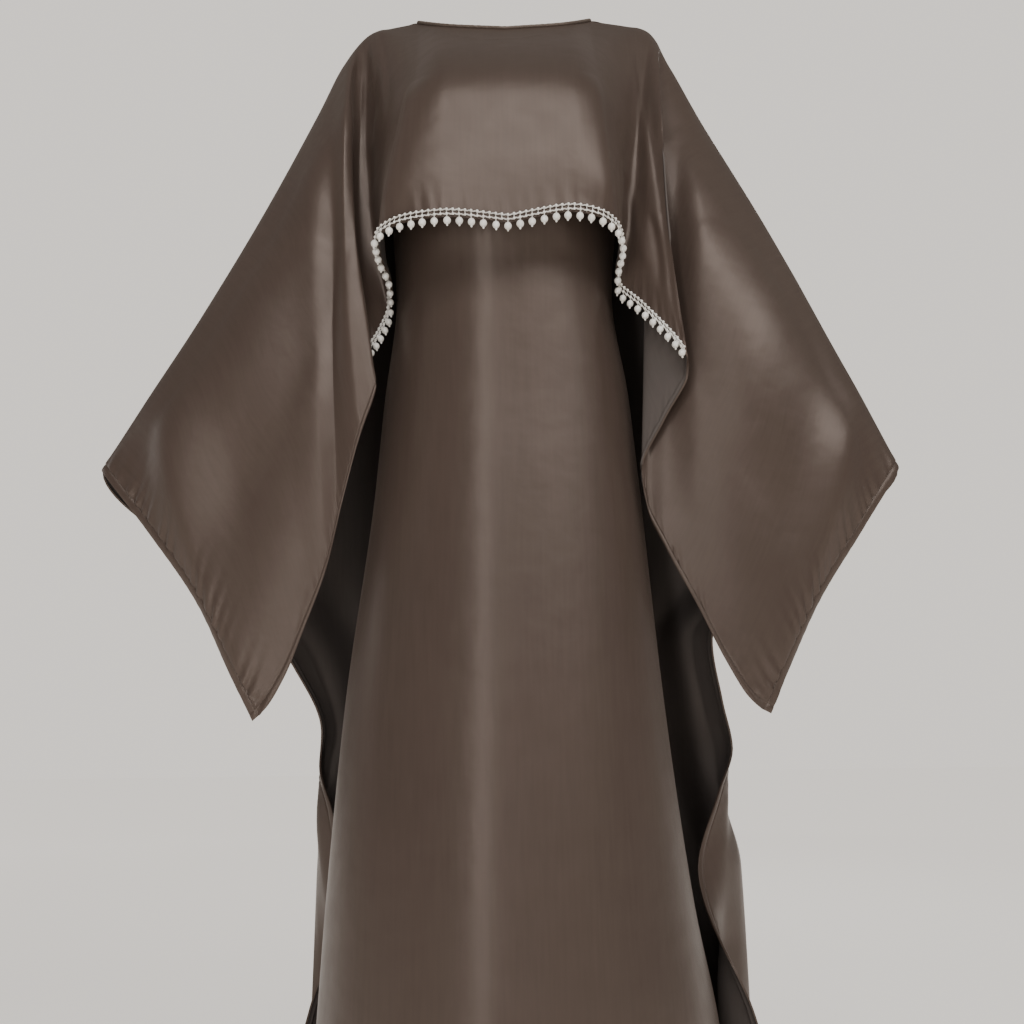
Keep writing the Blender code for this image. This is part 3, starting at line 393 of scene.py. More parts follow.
# %% Sections of the back cape
# Back cape: one row for each level. Down to the wrist a level ends on the arm, below
# it on the free side edge, which folds forward and out again in a cascade.
# Each point is (x, y), x outwards.
BACK_COLUMNS = ("z", "centre", "mid back", "outer back", "blade", "side", "turn", "edge")
BACK_LEVELS = {
    "left": [
        (-0.270, (0.000, 0.122), (0.070, 0.119), (0.140, 0.106), (0.198, 0.082), (0.248, 0.052), (0.279, 0.026), None),
        (-0.420, (0.000, 0.132), (0.085, 0.127), (0.172, 0.108), (0.247, 0.074), (0.315, 0.034), (0.354, 0.006), None),
        (-0.585, (0.000, 0.144), (0.096, 0.136), (0.200, 0.104), (0.297, 0.060), (0.388, 0.008), (0.437, -0.024), None),
        (-0.700, (0.000, 0.153), (0.085, 0.146), (0.168, 0.120), (0.238, 0.084), (0.300, 0.040), (0.328, 0.018), (0.348, 0.000)),
        (-0.805, (0.000, 0.162), (0.072, 0.156), (0.138, 0.136), (0.190, 0.108), (0.232, 0.076), (0.250, 0.058), (0.260, 0.044)),
        (-0.880, (0.000, 0.170), (0.065, 0.166), (0.127, 0.152), (0.180, 0.130), (0.216, 0.106), (0.227, 0.090), (0.232, 0.076)),
        (-0.920, (0.000, 0.174), (0.066, 0.170), (0.130, 0.156), (0.186, 0.134), (0.224, 0.112), (0.235, 0.096), (0.234, 0.080)),
        (-0.972, (0.000, 0.179), (0.070, 0.175), (0.138, 0.160), (0.196, 0.136), (0.232, 0.108), (0.236, 0.082), (0.214, 0.058)),
        (-1.060, (0.000, 0.187), (0.078, 0.182), (0.150, 0.164), (0.212, 0.138), (0.239, 0.106), (0.226, 0.074), (0.200, 0.053)),
        (-1.180, (0.000, 0.198), (0.084, 0.191), (0.162, 0.170), (0.228, 0.136), (0.240, 0.096), (0.206, 0.074), (0.233, 0.040)),
        (-1.300, (0.000, 0.210), (0.088, 0.202), (0.172, 0.178), (0.242, 0.138), (0.247, 0.090), (0.214, 0.058), (0.262, 0.008)),
        (CAPE_HEM_Z, (0.000, 0.222), (0.092, 0.213), (0.182, 0.187), (0.256, 0.142), (0.256, 0.088), (0.224, 0.044), (0.292, -0.018)),
    ],
    "right": [
        (-0.270, (0.000, 0.122), (0.070, 0.119), (0.140, 0.106), (0.200, 0.082), (0.252, 0.052), (0.283, 0.026), None),
        (-0.420, (0.000, 0.132), (0.085, 0.127), (0.170, 0.108), (0.245, 0.074), (0.310, 0.034), (0.346, 0.006), None),
        (-0.594, (0.000, 0.144), (0.094, 0.136), (0.192, 0.104), (0.286, 0.060), (0.369, 0.008), (0.413, -0.024), None),
        (-0.690, (0.000, 0.152), (0.085, 0.145), (0.166, 0.120), (0.234, 0.084), (0.292, 0.038), (0.315, 0.018), (0.332, 0.000)),
        (-0.776, (0.000, 0.160), (0.072, 0.154), (0.134, 0.136), (0.180, 0.110), (0.214, 0.078), (0.228, 0.060), (0.236, 0.045)),
        (-0.850, (0.000, 0.166), (0.070, 0.161), (0.134, 0.146), (0.188, 0.124), (0.227, 0.100), (0.241, 0.084), (0.249, 0.068)),
        (-0.905, (0.000, 0.171), (0.070, 0.168), (0.137, 0.155), (0.196, 0.136), (0.240, 0.116), (0.257, 0.100), (0.261, 0.082)),
        (-0.955, (0.000, 0.176), (0.073, 0.172), (0.144, 0.158), (0.205, 0.137), (0.247, 0.110), (0.252, 0.080), (0.236, 0.050)),
        (-1.040, (0.000, 0.184), (0.082, 0.179), (0.160, 0.162), (0.230, 0.132), (0.265, 0.090), (0.240, 0.048), (0.203, 0.016)),
        (-1.180, (0.000, 0.198), (0.090, 0.191), (0.176, 0.168), (0.250, 0.130), (0.264, 0.072), (0.220, 0.022), (0.252, -0.020)),
        (-1.300, (0.000, 0.210), (0.094, 0.202), (0.184, 0.176), (0.262, 0.132), (0.266, 0.068), (0.224, 0.012), (0.276, -0.042)),
        (CAPE_HEM_Z, (0.000, 0.222), (0.098, 0.213), (0.192, 0.185), (0.274, 0.136), (0.272, 0.064), (0.232, 0.002), (0.302, -0.060)),
    ],
}
BACK_YOKE = [(0.000, 0.106, -0.120), (0.060, 0.104, -0.118), (0.118, 0.094, -0.120),
             (0.160, 0.076, -0.130), (0.200, 0.052, -0.150)]   # over the shoulder blades
FLUTES = 3             # soft folds across each half of the back
FLUTE_DEPTH = 0.018    # at the hem

# %% Sections of the dress
# Dress: one row for each level, half widths to the two sides, depths front and back.
DRESS_COLUMNS = ("z", "left", "right", "front", "back")
DRESS_LEVELS = [
    (-0.190, 0.140, 0.134, 0.143, 0.104),
    (-0.250, 0.142, 0.136, 0.158, 0.100),
    (-0.300, 0.138, 0.128, 0.152, 0.094),
    (-0.380, 0.134, 0.122, 0.128, 0.090),
    (-0.500, 0.147, 0.138, 0.124, 0.102),
    (-0.620, 0.158, 0.148, 0.130, 0.118),
    (-0.850, 0.188, 0.166, 0.150, 0.130),
    (-1.060, 0.206, 0.190, 0.172, 0.146),
    (-1.187, 0.214, 0.212, 0.186, 0.156),
    (HEM_Z,  0.232, 0.232, 0.210, 0.176),
]
DRESS_SIDE_Y = -0.012  # side seams
DRESS_ROUND = 0.86     # 1 is an ellipse, less is squarer across the front
# Top edge of the dress: share of the way from the centre to the side seam, the edge
# point and a point between it and the level at DRESS_LEVELS[1], x outwards.
TOP_COLUMNS = ("share", "front edge", "front between", "back edge", "back between")
DRESS_TOP = [
    (0.00, (0.000, -0.074, -0.080), (0.000, -0.128, -0.155), (0.000, 0.070, -0.055), (0.000, 0.094, -0.140)),
    (0.30, (0.062, -0.062, -0.068), (0.062, -0.122, -0.155), (0.062, 0.058, -0.047), (0.062, 0.090, -0.140)),
    (0.52, (0.116,  0.000, -0.006), (0.103, -0.068, -0.110), (0.116, 0.000, -0.006), (0.106, 0.060, -0.110)),
    (0.68, (0.150,  0.000, -0.017), (0.124, -0.044, -0.110), (0.150, 0.000, -0.017), (0.130, 0.044, -0.110)),
    (0.80, (0.136, -0.036, -0.105), (0.133, -0.062, -0.185), (0.138, 0.034, -0.105), (0.136, 0.052, -0.180)),
    (0.91, (0.137, -0.032, -0.166), (0.137, -0.042, -0.210), (0.139, 0.024, -0.160), (0.138, 0.030, -0.205)),
    (1.00, (0.137, -0.012, -0.186), (0.138, -0.012, -0.218), (0.137, -0.012, -0.186), (0.138, -0.012, -0.218)),
]
STRAP_DROP = 0.0027    # straps lie this far under the cape's shoulder
print("tables:", sum(len(t) for t in (*FRONT_FOLDS.values(), *BACK_LEVELS.values(), DRESS_LEVELS)), "fold lines and sections")

# %% [markdown]
# ## Curves through the tables
# Between two fold lines the cloth goes over smoothly and never swings past a fold. A
# monotone cubic does that. Down each line the cloth starts over the edge of the shoulder
# or arm and then hangs, which is a chain of cubics with a given start direction.


# %% Curve helpers
def unit(v):
    v = np.asarray(v, float)
    return v / np.maximum(np.linalg.norm(v, axis=-1, keepdims=True), 1e-12)


def smooth(knots, values, at):
    """Monotone cubic through the rows of values."""
    knots, values, at = np.asarray(knots, float), np.asarray(values, float), np.asarray(at, float)
    values = values.reshape(len(knots), -1)
    step = np.diff(knots)[:, None]
    slope = np.diff(values, axis=0) / step
    tangent = np.zeros_like(values)
    tangent[0], tangent[-1] = slope[0], slope[-1]
    before, after = slope[:-1], slope[1:]
    same = before * after > 0
    w1, w2 = 2 * step[1:] + step[:-1], step[1:] + 2 * step[:-1]
    mean = (w1 + w2) / (w1 / np.where(same, before, 1) + w2 / np.where(same, after, 1))
    tangent[1:-1] = np.where(same, mean, 0.0)
    i = np.clip(np.searchsorted(knots, at, side="right") - 1, 0, len(knots) - 2)
    h = step[i]
    s = ((at - knots[i]) / h[:, 0])[:, None]
    return ((1 + 2 * s) * (1 - s) ** 2 * values[i] + s * (1 - s) ** 2 * h * tangent[i]
            + s * s * (3 - 2 * s) * values[i + 1] + s * s * (s - 1) * h * tangent[i + 1])


def shoulder_line(side, at):
    """Points of the shared line: 0 is the centre front, 2 the neck, 3 the shoulder tip."""
    rows = np.array(SHOULDER_LINE[side])
    at = np.asarray(at, float)
    start = np.array([*FRONT_NECK, (rows[0, 0], 0.0, rows[0, 1])])
    neck = smooth(range(NECK_POINT + 1), start, np.minimum(at, NECK_POINT))
    arm = smooth(range(NECK_POINT, NECK_POINT + len(rows)), rows, np.maximum(at, NECK_POINT))
    arm = np.stack([arm[:, 0], SEAM_LEAN * arm[:, 1], arm[:, 1]], axis=-1)
    return np.where((at < NECK_POINT)[:, None], neck, arm)


def fall(points, roll, share):
    """Points down many hanging lines at once. points is knot x line x 3; each line leaves
    its first knot towards the second (roll 0) or straight over the edge (roll 1 or -1)."""
    points, share = np.asarray(points, float), np.asarray(share, float)
    count, lines = points.shape[:2]
    roll = np.broadcast_to(np.asarray(roll, float), (lines,))
    gaps = np.linalg.norm(np.diff(points, axis=0), axis=2)
    knots = np.concatenate([np.zeros((1, lines)), np.cumsum(gaps, axis=0)])
    slope = np.diff(points, axis=0) / gaps[..., None]
    tangent = np.empty_like(points)
    over = np.zeros((lines, 3))
    over[:, 1] = np.sign(roll) * np.minimum(1.0, ROLL_REACH / gaps[0])
    tangent[0] = slope[0] * (1 - np.abs(roll))[:, None] + over * np.abs(roll)[:, None]
    tangent[-1] = slope[-1]
    for k in range(1, count - 1):
        a, b = gaps[k - 1][:, None], gaps[k][:, None]
        tangent[k] = (slope[k - 1] * b + slope[k] * a) / (a + b)
    along = share * knots[-1]
    k = np.clip((along >= knots[1:]).sum(axis=0), 0, count - 2)
    line = np.arange(lines)
    h = gaps[k, line][:, None]
    s = (along - knots[k, line])[:, None] / h
    return ((1 + 2 * s) * (1 - s) ** 2 * points[k, line] + s * (1 - s) ** 2 * h * tangent[k, line]
            + s * s * (3 - 2 * s) * points[k + 1, line] + s * s * (s - 1) * h * tangent[k + 1, line])


def running_length(points):
    """Distance along a line of points, from its first one."""
    return np.concatenate([[0], np.cumsum(np.linalg.norm(np.diff(points, axis=0), axis=1))])


print("left shoulder tip:", np.round(shoulder_line("left", [SHOULDER_TIP])[0], 3))

# %% [markdown]
# ## Sewn edges
# Each free edge is turned in twice and sewn down 8 mm from the fold. Seen from the face
# that is a flat band, a row of stitches in a shallow groove, and small puckers beyond it,
# because the stitching is a little tighter than the cloth. The grids get close rows there,
# at these distances from the edge, and wide ones elsewhere.

# %% Edge sizes
CLOTH = 0.0009                 # the satin as it is modelled; the real one is half as thick
HEM_TURN = 0.0012              # what the turned-in hem adds on the wrong side
HEM_BAND = 0.0080              # edge to stitches
EDGE_STEPS = np.array([0.0, 0.0006, 0.0020, 0.0045, 0.0068, 0.0076, 0.0080, 0.0084, 0.0092, 0.0110, 0.0140, 0.0180])
SEW_GAP = 0.0002


def edge_relief(distance):
    """Height of the face along a hem, by the distance from its edge: rounded lip, flat
    band, groove of the stitches."""
    lip = -0.0005 * np.exp(-(distance / 0.0007) ** 2)
    band = 0.00025 * np.exp(-((distance - 0.0042) / 0.0026) ** 4)
    groove = -0.00055 * np.exp(-((distance - HEM_BAND) / 0.00075) ** 2)
    return lip + band + groove


def hem_thickness(distance):
    """Wall by the distance from a hem: thicker over the turned-in band."""
    return CLOTH + HEM_TURN / (1 + np.exp(np.minimum((distance - HEM_BAND - 0.0006) / 0.0005, 60)))


def waves(at, pitch, seed, octaves=3):
    """Uneven waves along an edge, about one for each pitch, between -1 and 1."""
    draw = np.random.default_rng(seed)
    total = np.zeros_like(at)
    for k in range(octaves):
        total += np.sin(2 * np.pi * at / pitch * (1 + 0.31 * k + 0.05 * draw.uniform(-1, 1)) + draw.uniform(0, 2 * np.pi))
    return total / octaves


def puckers(along, distance, pitch, reach, depth, seed, slant=0.35):
    """Short gathers that start at the stitches and fade into the cloth."""
    beyond = np.maximum(distance - HEM_BAND, 0)
    phase = along + slant * beyond
    sharp = np.tanh(1.6 * waves(phase, pitch, seed))
    strength = 0.55 + 0.45 * waves(along, 5.3 * pitch, seed + 7, 2)
    in_band = np.where(distance < HEM_BAND, 0.30, 1.0)
    return depth * sharp * strength * in_band * np.exp(-(beyond / reach) ** 1.4) * np.clip(beyond / 0.0015 + 0.3, 0, 1)


print("edge rows at", ", ".join("%.1f" % (1000 * d) for d in EDGE_STEPS), "mm")

# %% [markdown]
# ## From a grid to a cloth
# A cloth piece is a grid of face points. Creases push the points along the normals, then
# a second grid lies one thickness behind the first and the rim closes the two. The piece
# is a true thin wall, so its wrong side can have its own finish, and its pattern is laid
# out in metres along the grid, as on the cut cloth.


# %% Cloth helpers
def grid_normals(grid, ease=2):
    """Normals of a grid of points on its outer side, eased across tight folds."""
    normals = unit(np.cross(np.gradient(grid, axis=0), np.gradient(grid, axis=1)))
    for _ in range(ease):
        eased = normals.copy()
        eased[:, 1:-1] += 0.5 * (normals[:, :-2] + normals[:, 2:])
        normals = unit(eased)
    return normals


def crease_relief(grid, marks, inside=None):
    """Sum of soft troughs (depth under 0) and ridges. A mark is a line seen from the front
    or back: start and end (x, z), its bow sideways, width and depth. Two widths, on the
    -x and the +x side of a line drawn downwards, make a fold with one sharp flank."""
    seen = grid[..., [0, 2]]
    total = np.zeros(grid.shape[:2])
    for start, end, bow, width, depth in marks:
        a, b = np.array(start), np.array(end)
        length = np.linalg.norm(b - a)
        ahead = (b - a) / length
        aside = np.array([-ahead[1], ahead[0]])
        t = ((seen - a) @ ahead) / length
        off = (seen - a) @ aside - 4 * bow * t * (1 - t)
        fade = np.clip(1 - np.abs(2 * t - 1) ** 3, 0, 1)
        spread = np.where(off < 0, *width) if isinstance(width, tuple) else width
        total += depth * fade * np.exp(-(off / (spread * (0.6 + 0.4 * fade))) ** 2)
    return total if inside is None else total * inside


def cloth_piece(name, face, thickness, finish, wrong, normals=None):
    """A closed wall from a grid of face points, with the wrong side one thickness behind."""
    rows, cols = face.shape[:2]
    normals = grid_normals(face) if normals is None else normals
    back = face - normals * np.asarray(thickness)[..., None]
    verts = np.concatenate([face.reshape(-1, 3), back.reshape(-1, 3)])
    across = np.concatenate([np.zeros((rows, 1)), np.cumsum(np.linalg.norm(np.diff(face, axis=1), axis=2), axis=1)], axis=1)
    across -= across[:, cols // 2][:, None]
    down = np.concatenate([np.zeros((1, cols)), np.cumsum(np.linalg.norm(np.diff(face, axis=0), axis=2), axis=0)])
    pattern = np.tile(np.stack([across, -down], -1).reshape(-1, 2), (2, 1))
    n = rows * cols
    r, c = np.meshgrid(np.arange(rows - 1), np.arange(cols - 1), indexing="ij")
    a = (r * cols + c).ravel()
    quads = np.stack([a, a + cols, a + cols + 1, a + 1], -1)
    rim = np.concatenate([np.arange(cols), np.arange(1, rows) * cols + cols - 1,
                          (rows - 1) * cols + np.arange(cols - 2, -1, -1), np.arange(rows - 2, 0, -1) * cols])
    after = np.roll(rim, -1)
    sides = np.stack([n + after, n + rim, rim, after], -1)[:, ::-1]
    faces = np.concatenate([quads, quads[:, ::-1] + n, sides])
    mesh = bpy.data.meshes.new(name)
    mesh.from_pydata(verts.tolist(), [], faces.tolist())
    mesh.materials.append(finish)
    mesh.materials.append(wrong)
    slots = np.concatenate([np.zeros(len(quads)), np.ones(len(quads)), np.zeros(len(sides))]).astype(np.int32)
    mesh.polygons.foreach_set("material_index", slots)
    layer = mesh.uv_layers.new(name="cloth")
    layer.data.foreach_set("uv", pattern[faces.ravel()].astype(np.float32).ravel())
    mesh.shade_smooth()
    mesh.set_sharp_from_angle(angle=math.radians(55))
    piece = bpy.data.objects.new(name, mesh)
    bpy.context.scene.collection.objects.link(piece)
    area = 0.5 * (np.linalg.norm(np.cross(face[1:, :-1] - face[:-1, :-1], face[:-1, 1:] - face[:-1, :-1]), axis=2)
                  + np.linalg.norm(np.cross(face[1:, :-1] - face[1:, 1:], face[:-1, 1:] - face[1:, 1:]), axis=2)).sum()
    print("%s: %d x %d points, %d triangles, %.3f square metres" % (name, rows, cols, 4 * len(quads) + 2 * len(sides), area))
    return piece, float(area)


def wear(piece, node):
    """The piece stands for a solid of the model and goes with its body."""
    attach(piece, "root")
    if node:
        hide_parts(node)
    return piece

# %% [markdown]
# ## The front of the cape
# One piece of satin hangs from the shoulders and the arms. Over the chest it is drawn
# flat, beside the body it turns back on itself, and beyond that it runs out into a wing
# that ends in the sewn wrist edge. Columns of points follow the fold lines, which keeps
# the creases sharp where the cloth turns and leaves long smooth faces between them.

# %% Face of the front cape
FRONT_PITCH = 0.0042           # columns along the hem
FRONT_ROWS = 116
WRIST_FROM = 7.2               # place on the line where the columns begin to follow the wrist edge


def front_points(side, station, share):
    """Points of one half of the front cape, by place across (fold lines) and share down."""
    table = FRONT_FOLDS[side]
    index = np.arange(len(table))
    line = smooth(index, [row[1] for row in table], station)[:, 0]
    support, middle, hem = (smooth(index, [row[k] for row in table], station) for k in (2, 3, 4))
    top = shoulder_line(side, line) - (0, SEW_GAP / 2, 0)
    roll = -np.clip((line - NECK_POINT) / 0.8, 0, 1)
    chain = np.stack([top, support, middle, hem])
    length = np.linalg.norm(np.diff(chain, axis=0), axis=2).sum(axis=0)
    return fall(chain, roll, share(length) if callable(share) else share) * (SIDES[side], 1, 1)


def front_half(side):
    """Grid of one half, centre to wrist, with close rows at the hem and the wrist edge."""
    last = len(FRONT_FOLDS[side]) - 1
    dense = np.linspace(0, last, 1500)
    hem = front_points(side, dense, np.ones_like(dense))
    length = running_length(hem)
    count = int(length[-1] / FRONT_PITCH)
    body = np.interp(np.linspace(0, length[-1], count), length, dense)
    body = body[body < last - (last - WRIST_FROM * last / 9) * 0.999]
    wing = np.linspace(body[-1], last, 160)
    edge_down = np.linspace(0, 1, 240)
    edge = front_points(side, np.full(240, float(last)), edge_down)
    rows = []
    bands = EDGE_STEPS[::-1]
    fixed = len(bands) + 16
    for r in range(FRONT_ROWS + len(bands)):
        def share(size, r=r):
            inner = 1 - (bands[0] + 0.004) / size
            return inner * (r / (FRONT_ROWS - 1)) ** 1.1 if r < FRONT_ROWS else 1 - bands[r - FRONT_ROWS] / size
        trial = front_points(side, wing, share)
        away = np.linalg.norm(trial[:, None] - edge[None], axis=2).min(axis=1)
        away[-1] = 0
        away = np.minimum.accumulate(away)
        near = np.interp(bands[::-1], away[::-1] + np.arange(160) * 1e-9, wing[::-1])[::-1]
        start = body[-1]
        spread = start + (near[0] - start) * np.linspace(0, 1, fixed - len(bands) + 1)[1:-1]
        spread = np.concatenate([spread])
        station = np.concatenate([body, spread, near])
        rows.append((station, front_points(side, station, share)))
    return np.stack([s for s, _ in rows]), np.stack([p for _, p in rows])


halves = {side: front_half(side) for side in SIDES}
front_face = np.concatenate([halves["left"][1][:, ::-1], halves["right"][1][:, 1:]], axis=1)
front_station = np.concatenate([-halves["left"][0][:, ::-1], halves["right"][0][:, 1:]], axis=1)
print("front cape grid:", front_face.shape[:2])

# %% [markdown]
# Distances to the edges say where the band, the stitches and the puckers lie. The hem and
# the wrist edges are measured along the grid, which is square enough to them for that.

# %% Edges of the front cape
PEARL_REACH = {"left": "pearl end", "right": "outer fold"}   # the folds where the trim ends
rows, cols = front_face.shape[:2]
hem_away = np.concatenate([np.zeros((1, cols)), np.cumsum(np.linalg.norm(np.diff(front_face[::-1], axis=0), axis=2), axis=0)])[::-1]
wrist_away = np.full((rows, cols), 9.0)
for edge_column, keep in ((0, slice(0, 60)), (cols - 1, slice(cols - 60, cols))):
    part, line = front_face[:, keep], front_face[:, edge_column]
    fine = np.stack([np.interp(np.linspace(0, rows - 1, 600), np.arange(rows), line[:, k]) for k in range(3)], -1)
    wrist_away[:, keep] = np.linalg.norm(part[:, :, None] - fine[None, None], axis=3).min(axis=2)
hem_along = running_length(front_face[-1])
hem_along = np.tile(hem_along - hem_along[cols // 2], (rows, 1))
wrist_along = np.tile(np.stack([running_length(front_face[:, c]) for c in (0, cols - 1)], -1).mean(axis=1)[:, None], (1, cols))
pearl_ends = {side: [row[0] for row in FRONT_FOLDS[side]].index(PEARL_REACH[side]) for side in SIDES}
under_pearls = 1 / (1 + np.exp((np.abs(front_station) - np.where(front_station < 0, pearl_ends["left"], pearl_ends["right"])) / 0.05))
print("the pearls run over %.2f m of the hem" % np.ptp(hem_along[-1][under_pearls[-1] > 0.5]))

# %% [markdown]
# The large folds are in the grid already. What is added are the small things that an eye
# reads as satin: gathers over the stitched edges, short creases over the pearls, soft
# dents in the wings and the faint rim of the dress that shows through at the neck.

# %% Small folds of the front cape
FRONT_CREASES = [  # start (x, z), end (x, z), bow, width, depth
    ((-0.175, -0.050), (-0.162, -0.200), 0.004, 0.007, -0.0022),
    ((-0.184, -0.080), (-0.180, -0.160), 0.002, 0.005, -0.0016),
    ((0.176, -0.055), (0.170, -0.210), -0.004, 0.007, -0.0020),
    ((-0.315, -0.345), (-0.255, -0.600), 0.015, 0.035, 0.0030),
    ((-0.360, -0.470), (-0.285, -0.700), 0.012, 0.022, -0.0022),
    ((-0.250, -0.260), (-0.225, -0.520), 0.010, 0.026, -0.0026),
    ((0.320, -0.350), (0.262, -0.610), -0.014, 0.034, 0.0030),
    ((0.360, -0.480), (0.290, -0.700), -0.010, 0.022, -0.0022),
    ((-0.215, -0.190), (0.215, -0.194), 0.006, 0.030, 0.0034),
    ((-0.101, -0.165), (-0.138, -0.372), 0.000, (0.0070, 0.027), 0.0062),
    ((0.095, -0.165), (0.113, -0.372), 0.000, (0.025, 0.0070), 0.0058),
    ((-0.157, -0.022), (-0.134, -0.205), 0.003, (0.0035, 0.010), -0.0024),
    ((-0.158, -0.066), (-0.161, -0.265), 0.000, (0.0040, 0.009), -0.0024),
    ((0.155, -0.050), (0.186, -0.480), 0.000, (0.0035, 0.010), -0.0015),
    ((-0.200, -0.330), (-0.310, -0.860), 0.030, 0.050, 0.0085),
    ((0.238, -0.300), (0.262, -0.830), 0.004, 0.058, 0.0100),
    ((0.134, -0.250), (0.140, -0.330), 0.003, 0.005, -0.0018),
    ((0.148, -0.270), (0.156, -0.370), -0.003, 0.006, 0.0016),
    ((0.160, -0.300), (0.168, -0.400), 0.003, 0.005, -0.0018),
]
NECK_RIM = [((-0.068, -0.062), (-0.030, -0.086)), ((-0.030, -0.086), (0.016, -0.084)), ((0.016, -0.084), (0.046, -0.066))]

normals = grid_normals(front_face)
flat_seam = 1 - under_pearls * np.exp(-((hem_away - 0.004) / 0.020) ** 2)   # the trim lies on even cloth
relief = crease_relief(front_face, FRONT_CREASES) * flat_seam
for start, end in NECK_RIM:
    relief += crease_relief(front_face, [(start, end, 0.0, 0.0030, 0.0007)]) * (np.abs(front_station) < 1.9)
relief += puckers(hem_along, hem_away, 0.017, 0.014, 0.0015, 11) * (1 - under_pearls)
relief += 0.0011 * waves(hem_along + 0.1 * hem_away, 0.021, 5) * under_pearls * np.exp(-((hem_away - 0.010) / 0.020) ** 2)
relief += puckers(wrist_along, wrist_away, 0.021, 0.018, 0.0036, 23)
relief += edge_relief(hem_away) * (1 - under_pearls) + edge_relief(wrist_away)
line_away = running_length(front_face[:, cols // 2])[:, None]
line_away = np.concatenate([np.zeros((1, cols)), np.cumsum(np.linalg.norm(np.diff(front_face, axis=0), axis=2), axis=0)])
relief -= 0.0006 * np.exp(-(line_away / 0.0022) ** 2)
relief *= np.clip(line_away / 0.004, 0.25, 1)
front_cloth = front_face + normals * relief[..., None]
front_wall = np.maximum(hem_thickness(hem_away), hem_thickness(wrist_away))
print("relief from %.1f to %.1f mm" % (1000 * relief.min(), 1000 * relief.max()))

# %% Front cape piece
cape_front, front_area = cloth_piece("cape_front_satin", front_cloth, front_wall, SATIN_FACE, SATIN_WRONG,
                                     grid_normals(front_cloth))
wear(cape_front, "cape_front")

# %% [markdown]
# ## The back of the cape
# The back is one long piece down to the floor. Above the wrists it is sewn to the front
# along the arms. Below them its side edges are free: they fall forwards and outwards in a
# cascade and show the dull side. It is built from level sections, because cloth that
# hangs freely is plainest seen from above, as a wavy line.

# %% Face of the back cape
BACK_PITCH_DOWN = 0.0068
BACK_COLUMNS_HALF = 88
YOKE_ROWS = 26
WRIST_Z = {side: SHOULDER_LINE[side][-1][1] for side in SIDES}
WRIST_MIDDLE = sum(WRIST_Z.values()) / 2


def arm_place(side, z):
    """Place on the shared line at a height."""
    line = np.array(SHOULDER_LINE[side])[1:, 1]
    return smooth(-line, SHOULDER_TIP + np.arange(len(line), dtype=float), -np.atleast_1d(z))[:, 0]


def back_controls(side, heights):
    """The seven points that each level section goes through, at the heights asked for."""
    fixed = []
    for row in BACK_LEVELS[side]:
        points = [(x, y, row[0]) for x, y in row[1:-1]]
        end = shoulder_line(side, arm_place(side, row[0]))[0] + (0, SEW_GAP / 2, 0) if row[-1] is None else (*row[-1], row[0])
        fixed.append(points + [tuple(end)])
    fixed = np.array(fixed)
    zs = [row[0] for row in BACK_LEVELS[side]]
    flat = smooth([-z for z in zs], fixed.reshape(len(zs), -1), [-z for z in heights]).reshape(len(heights), -1, 3)
    for k, z in enumerate(heights):
        if z >= WRIST_Z[side] - 1e-9:
            flat[k, -1] = shoulder_line(side, arm_place(side, z))[0] + (0, SEW_GAP / 2, 0)
    return flat


def yoke_controls(side, shares):
    """The same seven points for the rows between the shoulder line and the first level."""
    first = back_controls(side, [BACK_LEVELS[side][0][0]])[0]
    top = [BACK_NECK[0], BACK_NECK[1]] + [shoulder_line(side, [a])[0] + (0, SEW_GAP / 2, 0) for a in (2.0, 2.26, 2.51, 2.75)]
    arm = shoulder_line(side, np.linspace(SHOULDER_TIP, arm_place(side, BACK_LEVELS[side][0][0])[0], len(shares))) + (0, SEW_GAP / 2, 0)
    middle = shoulder_line(side, [(SHOULDER_TIP + arm_place(side, BACK_LEVELS[side][0][0])[0]) / 2 - 0.1])[0]
    lines = []
    for k in range(5):
        chain = np.array([top[k], BACK_YOKE[k], first[k]])[:, None]
        lines.append(fall(np.repeat(chain, len(shares), axis=1), (0, 0, 0.3, 0.8, 1)[k], shares))
    chain = np.array([top[5], middle + (-0.006, 0.030, -0.006), first[5]])[:, None]
    lines.append(fall(np.repeat(chain, len(shares), axis=1), 1, shares))
    return np.stack(lines + [arm], axis=1)


def back_half(side):
    """Grid of one half, centre back to the arm or the free edge."""
    shares = np.linspace(0, 1, YOKE_ROWS + 1)
    levels = BACK_LEVELS[side]
    step = int((levels[0][0] - CAPE_HEM_Z - EDGE_STEPS[-1]) / BACK_PITCH_DOWN)
    heights = np.concatenate([np.linspace(levels[0][0], CAPE_HEM_Z + EDGE_STEPS[-1] + 0.004, step)[1:], CAPE_HEM_Z + EDGE_STEPS[::-1]])
    heights[np.argmin(np.abs(heights - WRIST_MIDDLE))] = WRIST_MIDDLE
    shift = (WRIST_Z[side] - WRIST_MIDDLE) * np.clip(1 - np.abs(heights - WRIST_MIDDLE) / 0.12, 0, 1)
    controls = np.concatenate([yoke_controls(side, shares), back_controls(side, heights + shift)])
    dense = np.linspace(0, 1, 260)
    index = np.arange(controls.shape[1])
    out = []
    for r, points in enumerate(controls):
        trial = smooth(index, points, dense * index[-1])
        from_edge = running_length(trial[::-1])
        near = np.interp(EDGE_STEPS, from_edge, dense[::-1])
        q = np.concatenate([np.linspace(0, near[-1], BACK_COLUMNS_HALF)[:-1], near[::-1]])
        section = smooth(index, points, q * index[-1])
        if r > YOKE_ROWS:
            section[:, 2] = heights[r - YOKE_ROWS - 1] + shift[r - YOKE_ROWS - 1] * q
        depth = FLUTE_DEPTH * np.clip((-section[:, 2] - 0.30) / (-CAPE_HEM_Z - 0.30), 0, 1) ** 1.3
        section[:, 1] += depth * np.cos(2 * np.pi * FLUTES * 1.35 * q) * np.clip((0.72 - q) / 0.15, 0, 1)
        out.append(section * (SIDES[side], 1, 1))
    return np.array(out)


